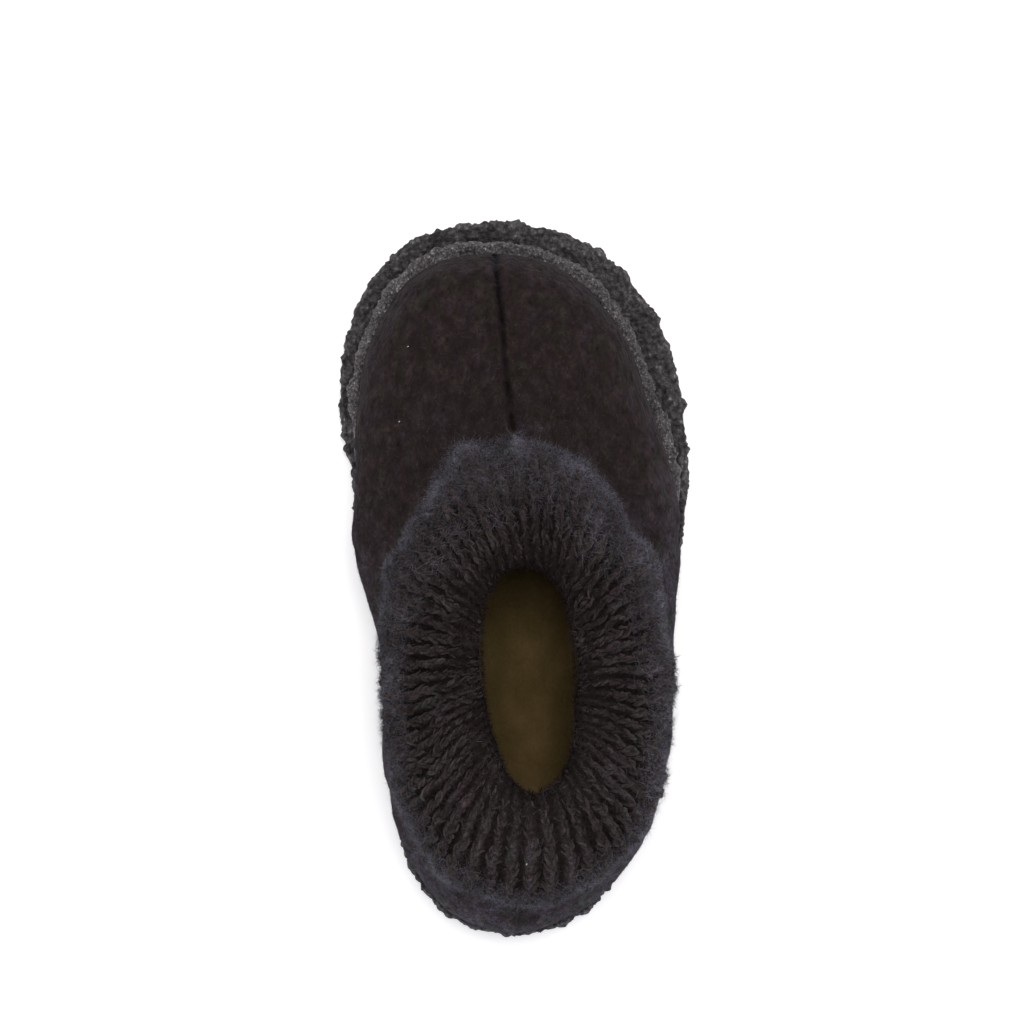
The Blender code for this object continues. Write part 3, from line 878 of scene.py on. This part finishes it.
def felt_surface(at, t):
    """The felt's outside before the toe spring, and how near each point is to the front seam's slit, for the
    painted shadow there.
    """
    grid = felt_form(at, np.tile(t, (len(at), 1)))
    bulge = overhang(at)[:, None] * np.sin(math.pi * rise(t, 0, 0.72))[None, :] ** 2
    clear = rise(grid[:, :, 2] - rand_top(grid)[:, None], -0.0025, 0.0020)
    bulge = bulge * clear - FELT_TUCK * (1 - clear)
    seam, seam_shadow_mask = seam_depth(grid, at)
    relief = bulge + layers(grid, FELT_LAYERS) - pits(grid, FELT_PITS, 0.30) - crease_depth(grid) - seam
    return grid + normals(grid) * relief[:, :, None], seam_shadow_mask


def felt_tone(at, t, skin, seam_shadow_mask):
    """Painted light and shade on the felt: 0.5 on plain felt, up to 1 for painted shadow in the seam and
    painted shade by the lip at the toe, and down to 0 for painted sheen on the steep walls and under the
    cuff.
    """
    along = sections_at(at)["along"]
    # Painted shade low on the toe's walls, stronger in a narrow band just over the rand's lip where it shows.
    shade = 0.22 * rise(along, 0.66, 0.86)[:, None] * rise(t, 0.50, 0.25)[None, :]
    over_rand = (skin[:, :, 2] - rand_top(skin)[:, None]).clip(0)
    shade = shade + 0.75 * (1 - covered(at))[:, None] * np.exp(-over_rand / 0.0028)
    # Painted sheen: steep walls from the ball back are paler and bluer, most on the outer side and round the
    # heel, which the fill light faces.
    steep = rise(normals(skin)[:, :, 2], 0.95, 0.55)
    side = np.interp(at, (0.0, 0.12, 0.55, 0.70, 1.0), (0.3, 1.0, 1.0, 0.35, 0.3))
    pale = (rise(along, 0.70, 0.50) * side)[:, None] * steep * (0.85 + 0.45 * noise(skin, 0.0055, 17))
    # Painted sheen: the felt pales in clouds just under the cuff, like the haze over it.
    painted_sheen_by_cuff = rise(t, 0.91, 0.98)[None, :] * (0.50 + 0.9 * noise(skin, 0.0050, 18)).clip(0)
    return 0.5 + 0.5 * np.clip(seam_shadow_mask + shade - pale - 0.8 * painted_sheen_by_cuff, -1, 1)


def build_felt(material):
    at = felt_lines()
    t = np.linspace(0, 1, FELT_LEVELS)
    skin, seam_shadow_mask = felt_surface(at, t)
    tone = felt_tone(at, t, skin, seam_shadow_mask)
    edge = skin[:, -1:] - normals(skin)[:, -1:] * FELT_WALL
    grid = np.concatenate([skin, edge], axis=1)
    tones = np.concatenate([tone, tone[:, -1:]], axis=1)
    piece = add_mesh("felt_upper", placed(grid), [grid_faces(*grid.shape[:2])], material, tones)
    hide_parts("upper")
    return at, skin, tone


def build_felt_lining(material):
    at = even(LINING_AROUND)
    t = np.tile(np.linspace(0, 1, LINING_LEVELS), (len(at), 1))
    form = felt_form(at, t)
    into = normals(form)
    into[:, 0] = level(into[:, 0])
    inside = form - into * FELT_WALL
    inside = inside + into * (0.0003 * noise(inside, 0.004, 15))[..., None]
    faces = grid_faces(*inside.shape[:2])[:, ::-1]
    tone = np.full(inside.shape[:2], 0.5)
    piece = add_mesh("felt_lining", placed(inside), [faces], material, tone)


def build_nap(at, skin, felt_painted_light, material):
    """Short brushed fibres on the felt. They lie along the shoe, most of them towards the toe."""
    count = NAP_FIBRES
    near = np.round(np.interp(even(FELT_AROUND), at, np.arange(len(at)))).astype(int)
    grid = skin[near]
    share = RANDOM.uniform(0, 1, count)
    height = 0.13 + 0.87 * RANDOM.uniform(0, 1, count) ** 0.6
    roots = read_grid(grid, share, height)
    outs = unit(read_grid(normals(grid), share, height))
    wish = np.column_stack([RANDOM.normal(0, 0.7, count), RANDOM.normal(0.3, 1.0, count),
                            RANDOM.normal(-0.15, 0.5, count)])
    leans = unit(wish - outs * np.sum(wish * outs, axis=1, keepdims=True))
    bare = 0.85 * (1 - covered(share)) * rise(outs[:, 2], 0.92, 0.62)
    kept = RANDOM.uniform(0, 1, count) > bare
    share, height, roots, outs, leans = (a[kept] for a in (share, height, roots, outs, leans))
    count = len(share)
    sides = np.cross(leans, outs)
    long = RANDOM.uniform(0, 1, count) < 0.05
    length = np.where(long, RANDOM.uniform(0.0025, 0.0045, count), RANDOM.uniform(0.0007, 0.0019, count))
    width = RANDOM.uniform(0.00007, 0.00014, count)
    arching = RANDOM.uniform(0.00002, 0.00020, count)
    # Each fibre takes on the painted sheen and painted shade of the felt's tone beneath it.
    under = read_grid(felt_painted_light[near][:, :, None], share, height)[:, 0]
    tone = np.clip(RANDOM.beta(1.3, 3.0, count) + 0.9 * (0.5 - under), 0, 1)
    piece = ribbons("felt_nap", placed(roots), leans, sides, outs, length, width, arching, material, tone, 2)


# Crepe rubber


def build_rand(material):
    """The crepe strip round the foot of the felt, with its thick crumbly lip."""
    at = even(RAND_AROUND)
    fine = np.tile(np.linspace(0, 1, FINE_STEPS // 3), (len(at), 1))
    skin = felt_form(at, fine)
    top = rand_top(skin)
    low = SOLE_THICKNESS + GAP
    profile = np.array(RAND_PROFILE)
    height, out = closed_spline(chord_knots(profile), profile, even(RAND_STEPS)).T
    heights = low + np.clip(height, 0, 1)[None, :] * (top - low)[:, None]
    t = np.array([np.interp(heights[i], skin[i, :, 2], fine[i]) for i in range(len(at))])
    wall = felt_form(at, t)
    away = np.stack([outward(wall[:, j]) for j in range(wall.shape[1])], axis=1)
    away = np.concatenate([away, np.zeros(away.shape[:2] + (1,))], axis=2)
    hidden = covered(at)[:, None]
    slim = RAND_SLIM[0] - RAND_SLIM[1] * hidden
    grid = wall + away * (out[None, :] * RAND_WALL * slim - RAND_PRESS)[:, :, None]
    outer = rise(out, 0, 0.3)[None, :] * np.clip(height / 0.2, 0.2, 1)[None, :] * (1 - 0.40 * hidden)
    ruffle = layers(grid, RAND_LUMPS) + crumbs(grid, RAND_CRUMBS)
    grid = grid + normals(grid) * (ruffle * outer)[:, :, None]
    piece = add_mesh("rand_lip", placed(grid), [grid_faces(*grid.shape[:2], closed_up=True)], material)
    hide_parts("rand")


def spine_of(edge):
    """For each point of the sole's edge, where its line ends on the middle of the sole."""
    half = BALL_WIDTH / 2
    y = np.clip(edge[:, 1], 0.75 * half, SOLE_LENGTH - 0.85 * half)
    steps = np.linspace(y.min(), y.max(), 40)
    middle = []
    for step in steps:
        near = np.abs(edge[:, 1] - step) < 0.004
        middle.append((edge[near, 0].min() + edge[near, 0].max()) / 2)
    return np.column_stack([np.interp(y, steps, middle), y])


def row_at(places, z):
    """A row of a flat piece's grid: places seen from above, and their height."""
    return np.column_stack([places, np.broadcast_to(z, len(places))])


def build_sole(material):
    """Crepe outsole: a flat tread below, a rough edge all round, and a ledge that dips beside the rand."""
    edge = sole_edge(even(SOLE_AROUND))
    out = outward(edge)
    spine = spine_of(edge)
    ledge = sections_at(even(SOLE_AROUND))["ledge"] * LEDGE
    under_rand = ledge + 0.0012
    r = SOLE_EDGE_ROUND
    rows = []
    rough = []

    def add_row(places, z, roughness):
        rows.append(row_at(places, z))
        rough.append(roughness)

    tread = edge - out * r
    for share in np.linspace(0.0, 0.92, 16):
        add_row(spine + (tread - spine) * share, 0.0, 0.0)
    for inset, z in ((1.0, 0.0), (0.62, 0.08), (0.3, 0.35), (0.08, 0.75), (0.0, 1.2)):
        add_row(edge - out * inset * r, z * r, min(1.0, z * 0.8))
    for z in np.linspace(1.2 * r, SOLE_THICKNESS - r, 9)[1:]:
        add_row(edge, z, 1.0)
    for inset, drop in ((0.08, 0.75), (0.3, 0.35), (0.7, 0.05)):
        add_row(edge - out * inset * r, SOLE_THICKNESS - drop * r, 1.0)
    for share in np.linspace(0.12, 1.0, 9):
        across = 0.7 * r + (under_rand - 0.7 * r).clip(0.0004) * share
        dip = 0.0024 * share**1.5 * np.clip(ledge / LEDGE, 0, 1)
        add_row(edge - out * across[:, None], SOLE_THICKNESS - dip, 1.0 - 0.45 * share)
    inner = edge - out * under_rand.clip(0.0013)[:, None]
    for share in (0.96, 0.6, 0.0):
        add_row(spine + (inner - spine) * share, SOLE_THICKNESS, 0.0)
    grid = np.stack(rows, axis=1)
    amount = np.array(rough)[None, :]
    bumps = layers(grid, SOLE_LUMPS) + crumbs(grid, SOLE_CRUMBS) - SOLE_SUNK
    grid = grid + normals(grid) * (bumps * amount)[:, :, None]
    below = rise(grid[:, :, 2], 0.0012, 0)
    grid[:, :, 2] += below * (arch(grid[:, :, 1]) + 0.00025 * crumb(grid, 0.0018, 34) * (amount < 0.1))
    grid[:, :, 2] = grid[:, :, 2].clip(0.0)
    piece = add_mesh("crepe_sole", placed(grid), [grid_faces(*grid.shape[:2])], material)
    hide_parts("outsole")


# Insole


def build_insole(material):
    """Felt insole: a soft, slightly lumpy sheet with a rounded edge."""
    foot = felt_foot(even(INSOLE_AROUND))
    edge = foot - outward(foot) * (FELT_WALL + INSOLE_GAP)
    out = outward(edge)
    spine = spine_of(edge)
    low = SOLE_THICKNESS + GAP
    high = low + INSOLE_THICKNESS
    r = INSOLE_EDGE_ROUND
    side = ((0.0, low), (0.0, high - r), (0.3 * r, high - 0.3 * r), (r, high))
    rows = [row_at(spine + (edge - spine) * share, low) for share in (0.0, 0.9)]
    rows += [row_at(edge - out * inset, z) for inset, z in side]
    rows += [row_at(spine + (edge - out * r - spine) * share, high) for share in np.linspace(0.95, 0.0, 46)]
    grid = np.stack(rows, axis=1)
    upper = grid[:, :, 2] >= high - 1e-6
    grid[:, :, 2] += upper * layers(grid, INSOLE_LAYERS)
    piece = add_mesh("insole_felt", placed(grid), [grid_faces(*grid.shape[:2])], material)
    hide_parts("insole")


# Knitted cuff


def cuff_loop(shares):
    """The cuff's section round from its seam, over the lip and down inside, even in length.

    Also gives, for each column, the share of that way at which the outside ends at the lip."""
    t = np.tile(np.linspace(0, 1, 48), (len(shares), 1))
    skin = cuff_skin(shares, t)
    away = normals(skin)
    middle = skin[:, -1] - away[:, -1] * CUFF_WALL / 2
    onward = unit(skin[:, -1] - skin[:, -2])
    lip = []
    for turn in np.linspace(0, 1, 12)[1:-1]:
        angle = math.pi * turn
        radius = CUFF_WALL / 2
        lip.append(middle + away[:, -1] * math.cos(angle) * radius + onward * math.sin(angle) * radius)
    inside = skin - away * CUFF_WALL
    loop = np.concatenate([skin, np.stack(lip, axis=1), inside[:, ::-1]], axis=1)
    walked = np.cumsum(np.linalg.norm(np.diff(loop, axis=1), axis=2), axis=1)
    walked = np.concatenate([np.zeros((len(shares), 1)), walked], axis=1)
    outside = walked[:, skin.shape[1] - 1] / walked[:, -1]
    even = np.linspace(0, 1, CUFF_LEVELS)
    resampled = np.empty((len(shares), CUFF_LEVELS, 3))
    for i in range(len(shares)):
        for axis in range(3):
            resampled[i, :, axis] = np.interp(even, walked[i] / walked[i, -1], loop[i, :, axis])
    return resampled, outside


def behind_mouth(share):
    """How near a place is to the middle of the back, from 0 to 1."""
    return bell(np.mod(share, 1.0) - 0.5, 0.14)


def outer_side(share):
    """How near a place is to the middle of the outer side, from 0 to 1."""
    return np.sin(TURN * share).clip(0)


def circle(share, radius, up):
    """Places on an upright cylinder, on which noise runs on across the start of the shares."""
    return np.stack([np.cos(TURN * share) * radius, np.sin(TURN * share) * radius, up], axis=-1)


def rib_wander(share, up):
    """How far the ribs drift sideways, as a share of the way round. At the back they run almost level."""
    drift = layers(circle(share, 1, up * 1.6), RIB_DRIFT)
    behind = np.mod(share, 1.0) - 0.5
    return drift - RIB_GATHER * np.clip(up, 0, 1) * behind * bell(behind, 0.16)


def rib_share(rib, up):
    """Where a rib lies, as a share of the way round, once it has drifted."""
    share = rib / CUFF_RIBS
    for _ in range(5):
        share = rib / CUFF_RIBS - rib_wander(share, up)
    return share


def haze_start(share):
    return np.interp(np.mod(share, 1.0), HAZE_SHARES, HAZE_REACH)


def rib_pitch(up):
    """The room from rib to rib, in metres."""
    fine = np.linspace(0, 1, 200)
    below, above = (np.linalg.norm(np.diff(ring(fine), axis=0), axis=1).sum() for ring in (top_line, mouth))
    return (below + (above - below) * np.clip(up, 0, 1)) / CUFF_RIBS


def rib_relief(share, up):
    """Height of the ribs over the ground of the knit. Up is a share of the outside's length."""
    turns = CUFF_RIBS * (share + rib_wander(share, up))
    wave = 0.5 + 0.5 * np.cos(TURN * turns)
    start = haze_start(share)
    fade = rise(up, start * 0.35, start * 1.05) * np.clip((1.02 - up) / 0.45, 0.15, 1)
    room = 0.35 + 0.65 * rib_pitch(up) / rib_pitch(np.zeros(1))
    place = circle(share, 2, up)
    uneven = 1 + 0.65 * noise(place, 0.11, 53)
    rows = 0.20 * np.cos(TURN * (STITCH_ROWS * up + 2.3 * np.sin(7.7 * np.round(turns))))
    softer = 1 - 0.30 * behind_mouth(share)
    ribs = RIB_HEIGHT * 1.75 * wave * (uneven + rows) - RIB_SUNK - pits(place, RIB_PITS, 0.35)
    puffs = PUFF_HEIGHT + layers(place, PUFF_LAYERS) - WAIST_PRESS * bell(np.mod(share, 1.0) - 0.74, 0.06)
    return ribs * fade * room * softer + puffs * np.clip(1.25 - up / start, 0, 1) * rise(up, 0, 0.10)


def build_cuff(material):
    """The ground of the knit with its ribs. Its tone is up to 0.5 on the ribs, painted light on them and
    painted shade in the grooves and by the lip, and higher in the haze, a painted sheen.
    """
    shares = even(CUFF_AROUND)
    loop, outside = cuff_loop(shares)
    away = normals(loop)
    up = np.linspace(0, 1, CUFF_LEVELS)[None, :] / outside[:, None]
    share = np.tile(shares[:, None], (1, CUFF_LEVELS))
    relief = rib_relief(share, up) + layers(loop, KNIT_LAYERS)
    grid = loop + away * relief[:, :, None]
    ragged = 0.45 * noise(loop, 0.0050, 63)
    haze = np.clip(1.30 - up / haze_start(share) + ragged, 0, 1) * (up > 0)
    # Painted light on the ribs and painted shade in the grooves between them.
    painted_rib_light = 0.5 + 0.5 * np.cos(TURN * CUFF_RIBS * (share + rib_wander(share, up)))
    behind = behind_mouth(share)
    # Painted shade on the ribs towards and over the lip, where the cuff turns into the mouth.
    painted_lip_shade = np.clip((1.22 - up) / 0.5, 0.15, 1)
    painted_rib_light = painted_rib_light * (0.41 + 0.02 * behind + 0.20 * noise(loop, 0.0028, 62)) * painted_lip_shade
    painted_rib_light = painted_rib_light + 0.12 * behind * (up < 1)
    # Tone of the haze on the ground: pale clouds for painted sheen, lighter on the outer side for painted
    # light where the fill light falls.
    lumps = 0.78 + 0.50 * noise(loop, 0.0040, 57) + 0.24 * outer_side(share)
    tone = np.clip(painted_rib_light + (lumps - painted_rib_light) * haze, 0, 1)
    faces = [grid_faces(*grid.shape[:2], closed_up=True)]
    piece = add_mesh("knit_cuff", placed(grid), faces, material, tone)
    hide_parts("cuff")
    return loop, away, outside


def on_cuff(cuff, share, up):
    """The place on the cuff's ground between its ribs, and the way off it."""
    loop, away, outside = cuff
    rounds = len(outside)
    end = np.interp(np.mod(share, 1.0) * rounds, np.arange(rounds + 1), np.append(outside, outside[0]))
    place = read_grid(loop, share, up * end)
    off = unit(read_grid(away, share, up * end))
    return place, off


def build_stitches(cuff, material):
    """The knit's strands: each stitch of a rib is an uneven V of two short lengths of yarn.

    Their start and length are in rows up the cuff, their spread, slant and bow in ribs round it."""
    sites = np.meshgrid(np.arange(CUFF_RIBS), np.arange(STITCH_ROWS + LIP_ROWS), (-1, 1), indexing="ij")
    rib, row, side = (a.ravel() for a in sites)
    count = len(rib)
    q = np.linspace(0, 1, YARN_STEPS)[None, :]
    step = 1 / STITCH_ROWS
    start = (row + RANDOM.uniform(-0.25, 0.25, count) + 0.2)[:, None] * step
    up = start + step * (1.20 + RANDOM.uniform(-0.3, 0.35, count))[:, None] * q
    astray = RANDOM.uniform(0, 1, count) < 0.14
    slant = RANDOM.normal(0.0, np.where(astray, 0.55, 0.27))[:, None]
    spread = 0.06 + RANDOM.uniform(0.14, 0.26, count)[:, None] * np.sin(math.pi / 2 * q)
    bow = RANDOM.normal(0.0, 0.07, count)[:, None] * np.sin(math.pi * q)
    share = rib_share(rib[:, None] + side[:, None] * spread + slant * (q - 0.4) + bow, up)
    place, off = on_cuff(cuff, share, up)
    radius = 0.185 * rib_pitch(up)[:, 2] * RANDOM.uniform(0.75, 1.15, count)
    sunk = RANDOM.uniform(-1.3, 0.0, count)[:, None]
    lift = radius[:, None] * (np.sin(math.pi * q) + sunk - rise(up, 0.85, 0.97))
    paths = place + off * (rib_relief(share, up) + lift)[..., None]
    tone = 0.42 + 0.06 * behind_mouth(rib / CUFF_RIBS) + 0.28 * noise(place[:, 2], 0.0045, 59)
    kept = (start[:, 0] > haze_start(rib / CUFF_RIBS) * 0.45) & (RANDOM.uniform(0, 1, count) > 0.13)
    paths, off, radius, tone = paths[kept], off[kept], radius[kept], tone[kept]
    across = unit(np.cross(np.gradient(paths, axis=1), off))
    phase = RANDOM.uniform(0, TURN, len(paths))[:, None]
    plies = []
    for ply in range(YARN_PLIES):
        turn = (phase + TURN * (0.8 * q + ply / YARN_PLIES))[..., None]
        plies.append(paths + (across * np.cos(turn) + off * np.sin(turn)) * 0.55 * radius[:, None, None])
    tones = [np.clip(tone + RANDOM.normal(0, 0.13, len(tone)), 0, 1) for _ in plies]
    thick = np.tile(0.62 * radius, YARN_PLIES)
    piece = tubes("knit_stitches", placed(np.concatenate(plies)), thick, material, np.concatenate(tones))


def build_seam_yarn(cuff, material):
    """Slanted stitches that sew the cuff to the felt's top edge."""
    count = SEAM_STITCHES
    share = (np.arange(count) + RANDOM.uniform(-0.25, 0.25, count)) / count
    q = np.linspace(0, 1, YARN_STEPS)[None, :]
    up = -0.02 + 0.085 * q + np.zeros((count, 1))
    along = share[:, None] + (0.35 + RANDOM.uniform(-0.2, 0.2, count)[:, None]) * q / count
    place, off = on_cuff(cuff, along, np.clip(up, 0, 1))
    radius = RANDOM.uniform(0.00025, 0.00045, count)
    lift = 0.0002 + 0.0005 * np.sin(math.pi * q)
    paths = place + off * lift[..., None] - UP * 0.0012 * (1 - q[..., None])
    piece = tubes("seam_stitches", placed(paths), radius, material, RANDOM.beta(2.0, 3.0, count))


def add_fuzz(name, cuff, share, up, length, thick, stand, tone, material, steps):
    """Fibres that lie on the cuff in all directions, each a little off it. Their tone is in clouds."""
    count = len(share)
    place, off = on_cuff(cuff, share, up)
    tone = np.clip(tone + 0.52 * noise(place, 0.0052, 61), 0, 1)
    ahead, _ = on_cuff(cuff, share + 0.002, up)
    tangent = unit(ahead - place)
    climb = np.cross(off, tangent)
    turn = RANDOM.uniform(-math.pi, math.pi, count)
    leans = unit(tangent * np.cos(turn)[:, None] + climb * np.sin(turn)[:, None] + off * stand[:, None])
    sides = unit(np.cross(leans, off + 0.3 * RANDOM.normal(0, 1, (count, 3))))
    width = RANDOM.uniform(0.5, 1.1, count) * thick
    arching = RANDOM.uniform(0.0001, 0.0008, count)
    roots = placed(place + off * (rib_relief(share, up) + 0.0001)[:, None])
    piece = ribbons(name, roots, leans, sides, off, length, width, arching, material, tone, steps)


def build_haze(cuff, material):
    """Wool haze over the cuff's lower band, widest at the front."""
    count = HAZE_FIBRES
    share = RANDOM.uniform(0, 1, count)
    up = haze_start(share) * (0.02 + 1.65 * RANDOM.beta(1.3, 2.2, count))
    front = bell(np.mod(share + 0.5, 1.0) - 0.5, 0.13)
    by_seam = 0.30 + 0.55 * front + (0.70 - 0.55 * front) * rise(up, 0, 0.6 * haze_start(share))
    length = RANDOM.uniform(0.0014, 0.0040, count) * by_seam
    stand = np.abs(RANDOM.normal(0.28, 0.25, count)) * by_seam
    # Lighter on the outer side: painted light where the fill light falls.
    tone = RANDOM.beta(5.0, 8.0, count) + 0.24 * outer_side(share)
    add_fuzz("cuff_haze", cuff, share, up, length, 0.00008, stand, tone, material, 3)


def build_rib_fuzz(cuff, material):
    """Darker, thicker fibres that mat the ribs together."""
    count = RIB_FIBRES
    share = RANDOM.uniform(0, 1, count)
    up = RANDOM.uniform(0.1, 1.12, count)
    length = RANDOM.uniform(0.0007, 0.0021, count)
    stand = np.abs(RANDOM.normal(0.15, 0.18, count))
    tone = RANDOM.beta(1.0, 3.4, count)
    add_fuzz("rib_fuzz", cuff, share, up, length, 0.00016, stand, tone, material, 2)


# Small things


def under_pixel(grid, column, row):
    """The place and normal of a surface at a point of the picture."""
    scale = CAMERA_SENSOR / CAMERA_LENS / PICTURE_SIZE
    away = normals(grid)
    world = placed(grid)
    seen = (world[..., :2] - np.array(CAMERA_PLACE[:2])) / (CAMERA_PLACE[2] - world[..., 2:])
    wanted = np.array([(column - PICTURE_SIZE / 2) * scale, (PICTURE_SIZE / 2 - row) * scale])
    far = np.linalg.norm(seen - wanted, axis=-1)
    best = np.unravel_index(np.argmin(far + (away[..., 2] < 0.05) * 1.0), far.shape)
    return world[best], away[best]


def build_lint(skin, cuff, material):
    """A loose thread end at the foot of the seam, and a few specks of lint."""
    grids = {"felt": skin, "knit": cuff[0]}
    paths = []
    radius = []
    for carrier, column, row, length, turn in LINT:
        place, away = under_pixel(grids[carrier], column, row)
        lean = unit(np.array([math.cos(turn), math.sin(turn), 0.0]))
        q = np.linspace(-0.5, 0.5, YARN_STEPS)[:, None]
        bow = np.array([-math.sin(turn), math.cos(turn), 0.0]) * q**2 * 0.8
        paths.append(place + away * 0.0009 + (lean * q + bow) * length)
        radius.append(0.00009 + 0.03 * length)
    piece = tubes("lint", np.array(paths), np.array(radius), material, np.ones(len(paths)))


# Stage


def build_stage():
    bpy.ops.mesh.primitive_plane_add(size=6.0, location=(0, 0, -0.0002))
    floor = bpy.context.object
    floor.name = "floor"
    floor.data.materials.append(floor_look())


def add_light(name, place, size, power, colour):
    light = bpy.data.lights.new(name, "AREA")
    light.color = colour
    light.shape = "DISK"
    light.size = size
    light.energy = power
    lamp = bpy.data.objects.new(name, light)
    lamp.location = place
    direction = -np.array(place)
    yaw = math.atan2(direction[0], -direction[1])
    tilt = math.acos(-direction[2] / np.linalg.norm(direction))
    lamp.rotation_euler = (tilt, 0, yaw)
    bpy.context.scene.collection.objects.link(lamp)


def build_light():
    world = bpy.data.worlds.new("studio")
    world.use_nodes = True
    background = world.node_tree.nodes["Background"]
    background.inputs["Color"].default_value = SKY_COLOUR
    background.inputs["Strength"].default_value = SKY_STRENGTH
    bpy.context.scene.world = world
    for row in LIGHTS:
        add_light(*row)


def build_camera():
    data = bpy.data.cameras.new("camera")
    data.lens = CAMERA_LENS
    data.sensor_width = CAMERA_SENSOR
    data.clip_end = 10.0
    camera = bpy.data.objects.new("camera", data)
    camera.location = CAMERA_PLACE
    bpy.context.scene.collection.objects.link(camera)
    bpy.context.scene.camera = camera
    bpy.context.scene.view_settings.view_transform = "Standard"


def main():
    build_camera()
    build_light()
    build_stage()
    felt = felt_look()
    yarn = yarn_look()
    build_sole(crepe_look())
    build_rand(rand_look())
    build_insole(insole_look())
    at, skin, felt_painted_light = build_felt(felt)
    build_felt_lining(felt)
    build_nap(at, skin, felt_painted_light, nap_look())
    cuff = build_cuff(knit_look())
    build_stitches(cuff, yarn)
    build_seam_yarn(cuff, yarn)
    build_haze(cuff, fuzz_look())
    build_rib_fuzz(cuff, nap_look())
    build_lint(skin, cuff, lint_look())


main()
